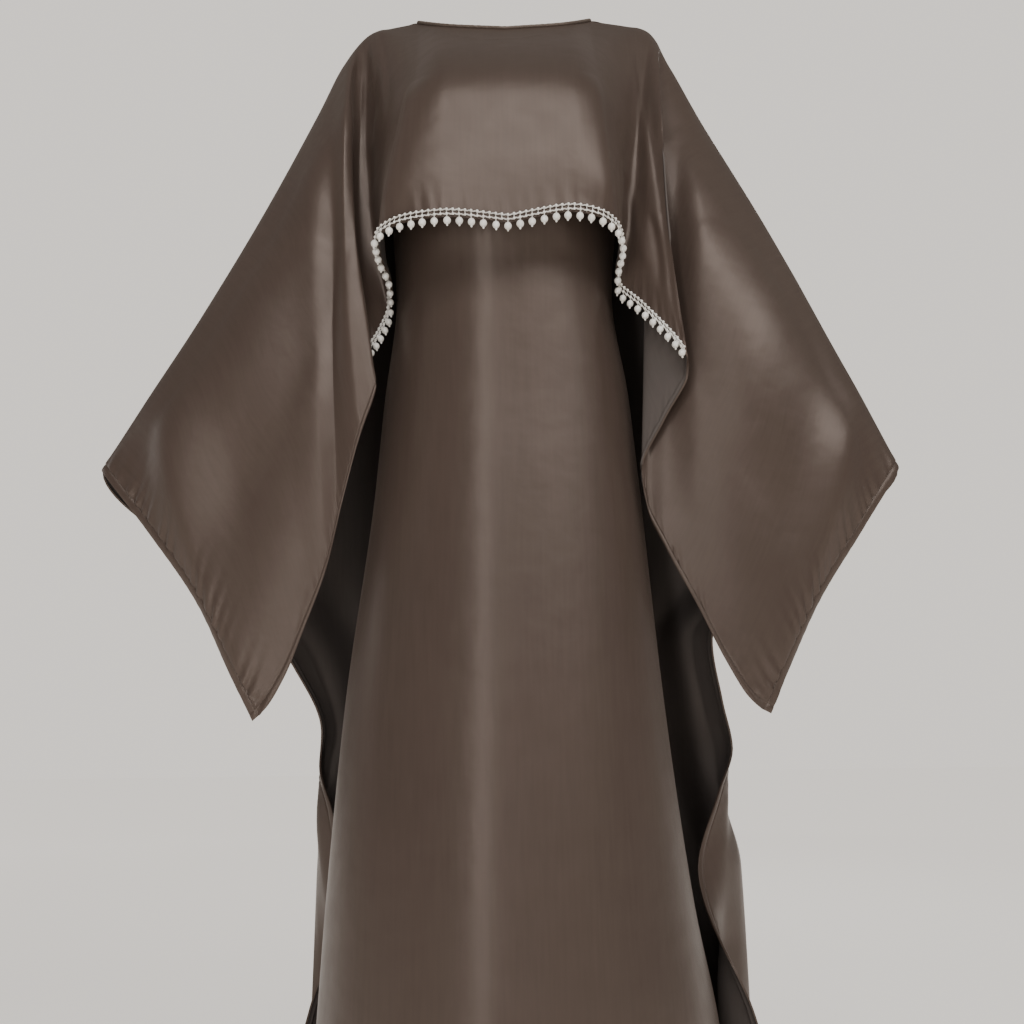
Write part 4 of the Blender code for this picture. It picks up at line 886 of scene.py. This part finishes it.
left_back, right_back = back_half("left"), back_half("right")
back_face = np.concatenate([left_back[:, ::-1], right_back[:, 1:]], axis=1)[:, ::-1]
print("back cape grid:", back_face.shape[:2])

# %% Edges and small folds of the back cape
BACK_CREASES = [  # start (x, z), end (x, z), bow, width, depth
    ((0.00, -0.16), (0.02, -0.80), 0.010, 0.030, 0.0024),
    ((-0.08, -0.20), (-0.13, -0.95), -0.012, 0.024, -0.0026),
    ((0.09, -0.18), (0.13, -1.02), 0.014, 0.026, -0.0024),
    ((-0.16, -0.14), (-0.30, -0.56), -0.020, 0.022, -0.0030),
    ((0.17, -0.15), (0.29, -0.55), 0.020, 0.024, -0.0030),
    ((-0.20, -0.20), (-0.38, -0.54), -0.012, 0.016, 0.0024),
    ((0.21, -0.21), (0.36, -0.54), 0.012, 0.016, 0.0024),
    ((-0.05, -0.55), (-0.07, -1.40), 0.008, 0.020, 0.0026),
    ((0.05, -0.70), (0.06, -1.40), -0.010, 0.018, -0.0024),
    ((-0.15, -0.75), (-0.18, -1.40), 0.012, 0.018, 0.0028),
    ((0.16, -0.85), (0.20, -1.40), -0.010, 0.018, 0.0028),
    ((-0.12, -0.05), (-0.08, -0.24), 0.006, 0.010, -0.0016),
    ((0.12, -0.05), (0.08, -0.25), -0.006, 0.010, -0.0016),
    ((-0.03, -0.05), (-0.02, -0.22), 0.004, 0.012, -0.0012),
]
rows, cols = back_face.shape[:2]
back_hem_away = np.concatenate([np.zeros((1, cols)), np.cumsum(np.linalg.norm(np.diff(back_face[::-1], axis=0), axis=2), axis=0)])[::-1]
steps = np.linalg.norm(np.diff(back_face, axis=1), axis=2)
side_away = np.minimum(np.concatenate([np.zeros((rows, 1)), np.cumsum(steps, axis=1)], axis=1),
                       np.concatenate([np.zeros((rows, 1)), np.cumsum(steps[:, ::-1], axis=1)], axis=1)[:, ::-1])
side_wrist = np.where(np.arange(cols) < cols // 2, WRIST_Z["right"], WRIST_Z["left"])[None, :]
free = np.clip((side_wrist - back_face[..., 2]) / 0.006, 0, 1)
sewn_side = np.where(free > 0, 9.0, side_away)
free_away = np.where(free > 0, side_away, 9.0)
side_along = np.concatenate([np.zeros((1, cols)), np.cumsum(np.linalg.norm(np.diff(back_face, axis=0), axis=2), axis=0)])
back_along = np.tile(running_length(back_face[-1]), (rows, 1))

relief = crease_relief(back_face, BACK_CREASES)
relief += puckers(side_along, free_away, 0.024, 0.014, 0.0012, 31) * free
relief += puckers(back_along, back_hem_away, 0.026, 0.016, 0.0011, 37)
relief += edge_relief(free_away) * free + edge_relief(back_hem_away)
relief *= np.clip(np.minimum(side_along, np.where(free > 0, 9.0, side_away)) / 0.004, 0.1, 1)
relief -= 0.0006 * np.exp(-(np.minimum(side_along, sewn_side) / 0.0022) ** 2)
back_cloth = back_face + grid_normals(back_face)[...] * relief[..., None]
back_wall = np.maximum(hem_thickness(back_hem_away), np.where(free > 0, hem_thickness(free_away), 0))
cape_back, back_area = cloth_piece("cape_back_satin", back_cloth, back_wall, SATIN_FACE, SATIN_WRONG, grid_normals(back_cloth))
wear(cape_back, "cape_back")

# %% [markdown]
# ## The dress
# Under the cape is a slim A-line dress without sleeves: a front and a back, sewn at the
# sides and shoulders. It falls from the bust without a waist seam, so its face is calm,
# with broad soft folds that open towards the hem and narrow gathers only at its hem.

# %% Face of a dress panel
DRESS_PITCH_DOWN = 0.0075
DRESS_COLUMNS_HALF = 44
TOP_ROWS = 22


def strap_edges():
    """The table's top edge, with the straps set right under the cape's shoulder."""
    table = {row[0]: [row[1], row[3]] for row in DRESS_TOP}
    for share, place in ((0.52, 2.06), (0.68, 2.44)):
        at = shoulder_line("left" if share < 0 else "right", [place])[0]
        table[share] = [(at[0], at[1], at[2] - STRAP_DROP)] * 2
    return table


def dress_face(face):
    """Grid of the front (face -1) or back (face +1) panel, side seam to side seam."""
    share = np.linspace(-1, 1, 2 * DRESS_COLUMNS_HALF + 1)
    size = np.abs(share)
    knots = [row[0] for row in DRESS_TOP]
    edge_table, between = strap_edges(), 2 if face < 0 else 4
    edges = smooth(knots, [edge_table[k][0 if face < 0 else 1] for k in knots], size)
    mids = smooth(knots, [row[between] for row in DRESS_TOP], size)
    z = np.array([row[0] for row in DRESS_LEVELS])
    heights = np.arange(DRESS_LEVELS[1][0], HEM_Z + EDGE_STEPS[-1] + 0.003, -DRESS_PITCH_DOWN)
    heights = np.concatenate([heights, HEM_Z + EDGE_STEPS[::-1]])
    body = []
    for level, (depth_z, left, right, front, back) in enumerate(smooth(-z, DRESS_LEVELS, -heights)):
        angle = size * math.pi / 2
        width = np.where(share < 0, left, right)
        depth = face * (front if face < 0 else back)
        x = np.sign(share) * width * np.sin(angle) ** DRESS_ROUND
        y = DRESS_SIDE_Y + (depth - DRESS_SIDE_Y) * np.cos(angle)
        body.append(np.stack([x, y, np.full_like(x, heights[level])], -1))
    body = np.array(body)
    edges, mids = edges * np.stack([np.where(share < 0, -1, 1), np.ones_like(share), np.ones_like(share)], -1), \
        mids * np.stack([np.where(share < 0, -1, 1), np.ones_like(share), np.ones_like(share)], -1)
    for k in (0, -1):
        edges[k, 0] = mids[k, 0] = body[0, k, 0]
    chain = np.stack([edges, mids, body[0]])
    upper = [fall(chain, 0, np.full(len(share), s)) for s in np.linspace(0, 1, TOP_ROWS + 1)[:-1]]
    return np.concatenate([np.array(upper), body]) + (0, face * SEW_GAP / 2, 0), share


# %% Small folds and pieces of the dress
DRESS_CREASES = {  # start (x, z), end (x, z), bow, width, depth
    -1: [((-0.029, -0.19), (-0.037, -1.62), 0.002, 0.034, 0.0028),
         ((-0.098, -0.30), (-0.125, -1.52), 0.006, 0.045, -0.0012),
         ((0.104, -0.36), (0.135, -1.52), 0.008, 0.045, -0.0010),
         ((-0.140, -0.50), (-0.195, -1.52), -0.006, 0.028, 0.0014),
         ((0.140, -0.50), (0.200, -1.52), -0.006, 0.028, 0.0014)],
    1: [((0.00, -0.20), (0.01, -1.44), 0.012, 0.034, -0.0030),
        ((-0.080, -0.30), (-0.130, -1.44), 0.010, 0.030, 0.0036),
        ((0.076, -0.34), (0.125, -1.44), -0.010, 0.028, 0.0034),
        ((-0.045, -0.60), (-0.070, -1.44), -0.006, 0.022, -0.0024),
        ((0.045, -0.55), (0.062, -1.44), 0.006, 0.020, -0.0024)],
}
dress_pieces, dress_grids = {}, {}
for name, face, seed in (("dress_front", -1, 51), ("dress_back", 1, 57)):
    grid, share = dress_face(face)
    if face > 0:
        grid, share = grid[:, ::-1], share[::-1]
    count = grid.shape[:2]
    hem_off = np.concatenate([np.zeros((1, count[1])), np.cumsum(np.linalg.norm(np.diff(grid[::-1], axis=0), axis=2), axis=0)])[::-1]
    top_off = np.concatenate([np.zeros((1, count[1])), np.cumsum(np.linalg.norm(np.diff(grid, axis=0), axis=2), axis=0)])
    round_off = np.tile(running_length(grid[-1]), (count[0], 1))
    relief = crease_relief(grid, DRESS_CREASES[face]) * (1 - np.abs(share) ** 8)
    relief += puckers(round_off, hem_off, 0.030, 0.018, 0.0010, seed) + edge_relief(hem_off) + 0.6 * edge_relief(top_off)
    seam = np.minimum(np.arange(count[1]), np.arange(count[1])[::-1])
    relief -= 0.0006 * np.exp(-(seam / 0.6) ** 2) * np.clip(top_off / 0.01, 0, 1)
    relief *= np.clip(top_off / 0.006, 0.2, 1)
    cloth = grid + grid_normals(grid) * relief[..., None]
    wall = np.maximum(hem_thickness(hem_off), CLOTH + 0.0004 * np.exp(-(top_off / 0.008) ** 4))
    piece, area = cloth_piece(name + "_satin", cloth, wall, SATIN_FACE, SATIN_WRONG, grid_normals(cloth))
    wear(piece, name)
    dress_pieces[name] = (piece, area)
    dress_grids[name] = (cloth, hem_off)

# %% [markdown]
# ## Topstitching
# A machine stitch on satin is about 3 mm long and sinks a little into the cloth. At this
# size a stitch is a small bent capsule of thread, and a row of them along the groove
# catches the light as separate dots. All the stitches of one piece are one mesh.

# %% Stitches
STITCH_LENGTH, STITCH_STEP, STITCH_RADIUS = 0.0026, 0.0034, 0.00028


def row_at(grid, distance_grid, distance, columns):
    """Points and normals on a grid where its distance to an edge has the given value."""
    normals = grid_normals(grid)
    points, ups = [], []
    for c in columns:
        away = distance_grid[:, c]
        order = np.argsort(away)
        points.append([np.interp(distance, away[order], grid[order, c, k]) for k in range(3)])
        ups.append([np.interp(distance, away[order], normals[order, c, k]) for k in range(3)])
    return np.array(points), unit(ups)


def stitches(name, lines, owner):
    """One mesh of small thread capsules along several lines of points with normals."""
    verts, faces = [], []
    ring = [(0.0, 0.25), (0.18, 0.9), (0.5, 1.0), (0.82, 0.9), (1.0, 0.25)]
    for points, ups in lines:
        length = running_length(points)
        for k in range(int(length[-1] / STITCH_STEP)):
            start = k * STITCH_STEP + 0.0004
            base = len(verts)
            for share, size in ring:
                at = start + share * STITCH_LENGTH
                p = np.array([np.interp(at, length, points[:, i]) for i in range(3)])
                q = np.array([np.interp(at + 0.0003, length, points[:, i]) for i in range(3)])
                up = unit([np.interp(at, length, ups[:, i]) for i in range(3)])
                side = unit(np.cross(q - p, up))
                lift = 0.00012 * math.sin(math.pi * share)
                for turn in range(5):
                    angle = 2 * math.pi * turn / 5
                    verts.append(p + up * lift + STITCH_RADIUS * size * (math.cos(angle) * side + math.sin(angle) * up))
            for r in range(len(ring) - 1):
                for t in range(5):
                    a, b = base + 5 * r + t, base + 5 * r + (t + 1) % 5
                    faces.append((a, b, b + 5, a + 5))
            faces += [tuple(base + t for t in range(4, -1, -1)), tuple(base + 20 + t for t in range(5))]
    mesh = bpy.data.meshes.new(name)
    mesh.from_pydata([tuple(v) for v in verts], [], faces)
    mesh.materials.append(THREAD)
    mesh.uv_layers.new(name="cloth")
    mesh.shade_smooth()
    piece = bpy.data.objects.new(name, mesh)
    bpy.context.scene.collection.objects.link(piece)
    wear(piece, None)
    print("%s: %d stitches on %s" % (name, len(faces) // 22, owner))
    return piece


rows, cols = front_cloth.shape[:2]
plain = [c for c in range(cols) if under_pearls[-1, c] < 0.5]
left_plain, right_plain = [c for c in plain if c < cols // 2 and c > 9], [c for c in plain if c > cols // 2 and c < cols - 10]
front_lines = [row_at(front_cloth, hem_away, HEM_BAND, part) for part in (left_plain, right_plain)]
turned, turned_away = front_cloth.transpose(1, 0, 2)[:, ::-1], wrist_away.T[:, ::-1]
for keep in (slice(0, 50), slice(cols - 50, cols)):
    grid, away = turned[keep], turned_away[keep]
    lines = row_at(grid, away, HEM_BAND, range(10, rows - 2))
    front_lines.append((lines[0], -lines[1] if np.mean(lines[1][:, 1]) > 0 else lines[1]))
front_stitching = stitches("cape_front_stitching", front_lines, "the wings")

back_rows = np.arange(back_cloth.shape[0])
back_lines = [row_at(back_cloth, back_hem_away, HEM_BAND, range(9, back_cloth.shape[1] - 9))]
for keep in (slice(0, 30), slice(back_cloth.shape[1] - 30, back_cloth.shape[1])):
    below = back_rows[free[:, keep].min(axis=1) > 0]
    grid, away = back_cloth[below][:, keep], side_away[below][:, keep]
    points, ups = row_at(grid.transpose(1, 0, 2), away.T, HEM_BAND, range(len(below) - 10))
    true_ups = grid_normals(back_cloth)[below][:, keep][:, 6]
    back_lines.append((points, true_ups[:len(points)]))
back_stitching = stitches("cape_back_stitching", back_lines, "the back hem and side edges")
dress_stitching = {}
for name, (grid, away) in dress_grids.items():
    dress_stitching[name] = stitches(name + "_stitching", [row_at(grid, away, HEM_BAND, range(1, grid.shape[1] - 1))], name)

# %% [markdown]
# ## Neck binding
# The boat neck is finished with a strip of the same satin, cut on the bias and rolled
# round a thin cord. It runs over both neck edges as one ring. A bias strip never lies
# quite still: it has small slanting ripples, which the ring gets as a twist in its radius.

# %% Binding
BINDING_RADIUS = 0.0023
BINDING_SIDES, BINDING_STEPS = 14, 420


def neck_ring():
    """Points just over the neck edges, round once."""
    fore = [shoulder_line(side, np.linspace(0, NECK_POINT, 60)) * (SIDES[side], 1, 1) for side in SIDES]
    behind = []
    for side in SIDES:
        end = shoulder_line(side, [NECK_POINT])[0]
        points = np.array([end, BACK_NECK[1], BACK_NECK[0]])
        behind.append(smooth(range(3), points, np.linspace(0, 2, 60)) * (SIDES[side], 1, 1))
    loop = np.concatenate([fore[0][::-1], fore[1][1:], behind[1][1:], behind[0][::-1][1:-1]])
    loop = np.concatenate([loop, loop[:1]])
    length = running_length(loop)
    at = np.linspace(0, length[-1], BINDING_STEPS, endpoint=False)
    ring = np.stack([np.interp(at, length, loop[:, k]) for k in range(3)], -1)
    for _ in range(6):                               # rounded at the neck points
        ring = 0.5 * ring + 0.25 * (np.roll(ring, 1, 0) + np.roll(ring, -1, 0))
    return ring + (0, 0, BINDING_RADIUS - 0.0011)


ring = neck_ring()
length = running_length(np.concatenate([ring, ring[:1]]))
ahead = unit(np.roll(ring, -1, 0) - np.roll(ring, 1, 0))
across = unit(np.cross(ahead, (0, 0, 1)))
upward = np.cross(across, ahead)
angle = 2 * np.pi * np.arange(BINDING_SIDES) / BINDING_SIDES
slant = waves(length[:-1, None] + 0.0030 * angle[None, :], 0.0105, 71)
radius = BINDING_RADIUS * (1 + 0.07 * slant) * (1 + 0.10 * np.cos(2 * angle)[None, :])
radius = radius * (1 - 0.22 * np.exp(-(((angle[None, :] - 1.5 * np.pi + 0.5) / 0.35) ** 2)))
shape = ring[:, None] + radius[..., None] * (np.cos(angle)[None, :, None] * across[:, None] + np.sin(angle)[None, :, None] * upward[:, None])
binding_mesh = bpy.data.meshes.new("neck_binding_satin")
index = np.arange(BINDING_STEPS * BINDING_SIDES).reshape(BINDING_STEPS, BINDING_SIDES)
quads = np.stack([index, np.roll(index, -1, 1), np.roll(np.roll(index, -1, 0), -1, 1), np.roll(index, -1, 0)], -1).reshape(-1, 4)
binding_mesh.from_pydata(shape.reshape(-1, 3).tolist(), [], quads.tolist())
binding_mesh.materials.append(SATIN_BIAS)
layer = binding_mesh.uv_layers.new(name="cloth")
bias = np.stack([length[:-1, None] + 0 * angle[None, :], 0 * length[:-1, None] + BINDING_RADIUS * angle[None, :]], -1).reshape(-1, 2)
layer.data.foreach_set("uv", bias[quads.ravel()].astype(np.float32).ravel())
binding_mesh.shade_smooth()
neck_binding = bpy.data.objects.new("neck_binding_satin", binding_mesh)
bpy.context.scene.collection.objects.link(neck_binding)
wear(neck_binding, "neck_binding")
print("neck binding: %.2f m round" % length[-1])

# %% [markdown]
# ## Pearl trim
# Along the front hem runs a bought trim: two cords with small beads, tied to each other at
# every bead, and a row of large drops that hang from the lower cord, each with a bead
# over it and a tiny one at its tip. It is sewn on through the braid, so the drops hang
# free below the hem. Every bead is placed by its distance along the hem.

# %% Trim sizes and hem line
PEARLS = 52
PEARL_RADIUS, PEARL_DROP = 0.0040, 0.0050
SMALL_RADIUS, TIP_RADIUS, CORD_RADIUS = 0.00155, 0.00115, 0.00055
UPPER_ROW, LOWER_ROW = -0.0072, -0.0024         # along the cloth, from the hem upwards

keep = under_pearls[-1] > 0.5
hem_line = front_face[-1, keep]
hem_face = grid_normals(front_face)[-1, keep]
hem_down = unit(front_face[-1, keep] - front_face[-8, keep])
hem_length = running_length(hem_line)
pearl_pitch = hem_length[-1] / PEARLS


def on_hem(at, down, off):
    """Point at a distance along the hem, a distance down from it and off the face."""
    def mix(values):
        return np.array([np.interp(at, hem_length, values[:, k]) for k in range(3)])
    face, drop = unit(mix(hem_face)), unit(mix(hem_down))
    return mix(hem_line) + drop * down + face * off, face, drop


print("hem under the trim %.3f m, a drop every %.1f mm" % (hem_length[-1], 1000 * pearl_pitch))

# %% Beads and cords


def ball(verts, faces, centre, radius, up, sides=14, rings=9, stretch=1.0):
    """A round bead whose hole runs along up; stretch makes it longer that way."""
    up = unit(up)
    side = unit(np.cross(up, (0.31, 0.87, 0.21)))
    other = np.cross(up, side)
    base = len(verts)
    for r in range(1, rings):
        polar = math.pi * r / rings
        for s in range(sides):
            turn = 2 * math.pi * s / sides
            verts.append(centre + radius * (stretch * math.cos(polar) * up
                                            + math.sin(polar) * (math.cos(turn) * side + math.sin(turn) * other)))
    for r in range(rings - 2):
        for s in range(sides):
            a, b = base + r * sides + s, base + r * sides + (s + 1) % sides
            faces.append((a, a + sides, b + sides, b))
    verts += [centre + up * radius * stretch, centre - up * radius * stretch]
    top, low = len(verts) - 2, len(verts) - 1
    last = base + (rings - 2) * sides
    for s in range(sides):
        faces.append((top, base + s, base + (s + 1) % sides))
        faces.append((low, last + (s + 1) % sides, last + s))


def cord(verts, faces, path, radius, sides=6):
    """A round cord along a line of points, closed at its ends."""
    path = np.asarray(path)
    ahead = unit(np.gradient(path, axis=0))
    side = unit(np.cross(ahead, (0.12, 0.97, 0.2)))
    other = np.cross(ahead, side)
    base = len(verts)
    for p, s, o in zip(path, side, other):
        for k in range(sides):
            turn = 2 * math.pi * k / sides
            verts.append(p + radius * (math.cos(turn) * s + math.sin(turn) * o))
    for r in range(len(path) - 1):
        for k in range(sides):
            a, b = base + r * sides + k, base + r * sides + (k + 1) % sides
            faces.append((a, b, b + sides, a + sides))
    faces.append(tuple(base + k for k in range(sides - 1, -1, -1)))
    faces.append(tuple(base + (len(path) - 1) * sides + k for k in range(sides)))


def mesh_piece(name, verts, faces, material):
    mesh = bpy.data.meshes.new(name)
    mesh.from_pydata([tuple(float(c) for c in v) for v in verts], [], faces)
    mesh.materials.append(material)
    mesh.shade_smooth()
    piece = bpy.data.objects.new(name, mesh)
    bpy.context.scene.collection.objects.link(piece)
    wear(piece, "pearl_trim")
    print("%s: %d faces" % (name, len(faces)))
    return piece


draw = np.random.default_rng(83)
drops, small, cords = ([], []), ([], []), ([], [])
for k in range(PEARLS):
    at = (k + 0.5) * pearl_pitch
    sway = draw.uniform(-0.0004, 0.0004)
    centre, face, down = on_hem(at + sway, PEARL_DROP, 0.0012)
    ball(*drops, centre, PEARL_RADIUS * draw.uniform(0.97, 1.02), down, 20, 13, 1.04)
    ball(*small, centre + down * (PEARL_RADIUS + 0.7 * TIP_RADIUS), TIP_RADIUS, down, 10, 7, 1.25)
    ball(*small, on_hem(at, LOWER_ROW, 0.0018)[0], SMALL_RADIUS, down, 12, 8)
    ball(*small, on_hem(at + 0.5 * pearl_pitch, LOWER_ROW, 0.0017)[0], SMALL_RADIUS * 0.92, down, 12, 8)
    for half in (0.0, 0.5):
        bead = on_hem(at + half * pearl_pitch, UPPER_ROW, 0.0018)
        ball(*small, bead[0] - bead[2] * 0.0004, SMALL_RADIUS * 1.02, bead[2], 12, 8)
        tie = [on_hem(at + half * pearl_pitch, d, 0.0016)[0] for d in np.linspace(UPPER_ROW, LOWER_ROW, 5)]
        cord(*cords, tie, CORD_RADIUS * 0.8)
    cord(*cords, [on_hem(at + sway * t, LOWER_ROW + (PEARL_DROP - PEARL_RADIUS - LOWER_ROW) * t, 0.0018 - 0.0006 * t)[0]
                  for t in np.linspace(0, 1.1, 5)], CORD_RADIUS)
along = np.linspace(0.0008, hem_length[-1] - 0.0008, 640)
for row, twist in ((UPPER_ROW, 0.0), (LOWER_ROW, math.pi)):
    path = [on_hem(at, row + 0.0004 * math.sin(2 * math.pi * at / pearl_pitch * 2 + twist), 0.0016)[0] for at in along]
    cord(*cords, path, CORD_RADIUS * 1.25)
pearl_drops = mesh_piece("pearl_drops", *drops, PEARL)
pearl_beads = mesh_piece("pearl_beads", *small, BEAD)
pearl_braid = mesh_piece("pearl_braid", *cords, CORD)

# %% [markdown]
# ## The cuts
# Each cloth piece is printed with the size it was cut to. The widths are taken along the
# hems and shoulder lines, the lengths down the longest hanging line, and the area is what
# the modelled face measures, because none of the pieces is a plain rectangle.


# %% Cut sizes
def cut_size(grid):
    width = np.linalg.norm(np.diff(grid, axis=1), axis=2).sum(axis=1).max()
    length = np.linalg.norm(np.diff(grid, axis=0), axis=2).sum(axis=0).max()
    return round(float(width), 3), round(float(length), 3)


CUTS = [
    (cape_front, front_face, front_area, ["cape_back_satin"], [front_stitching, pearl_drops, pearl_beads, pearl_braid]),
    (cape_back, back_face, back_area, ["cape_front_satin"], [back_stitching, neck_binding]),
    (dress_pieces["dress_front"][0], dress_grids["dress_front"][0], dress_pieces["dress_front"][1],
     ["dress_back_satin"], [dress_stitching["dress_front"]]),
    (dress_pieces["dress_back"][0], dress_grids["dress_back"][0], dress_pieces["dress_back"][1],
     ["dress_front_satin"], [dress_stitching["dress_back"]]),
]
for piece, grid, area, on, beside in CUTS:
    width, length = cut_size(grid)
    print("%s: cut %.3f x %.3f m, %.3f square metres" % (piece.name, width, length, area))
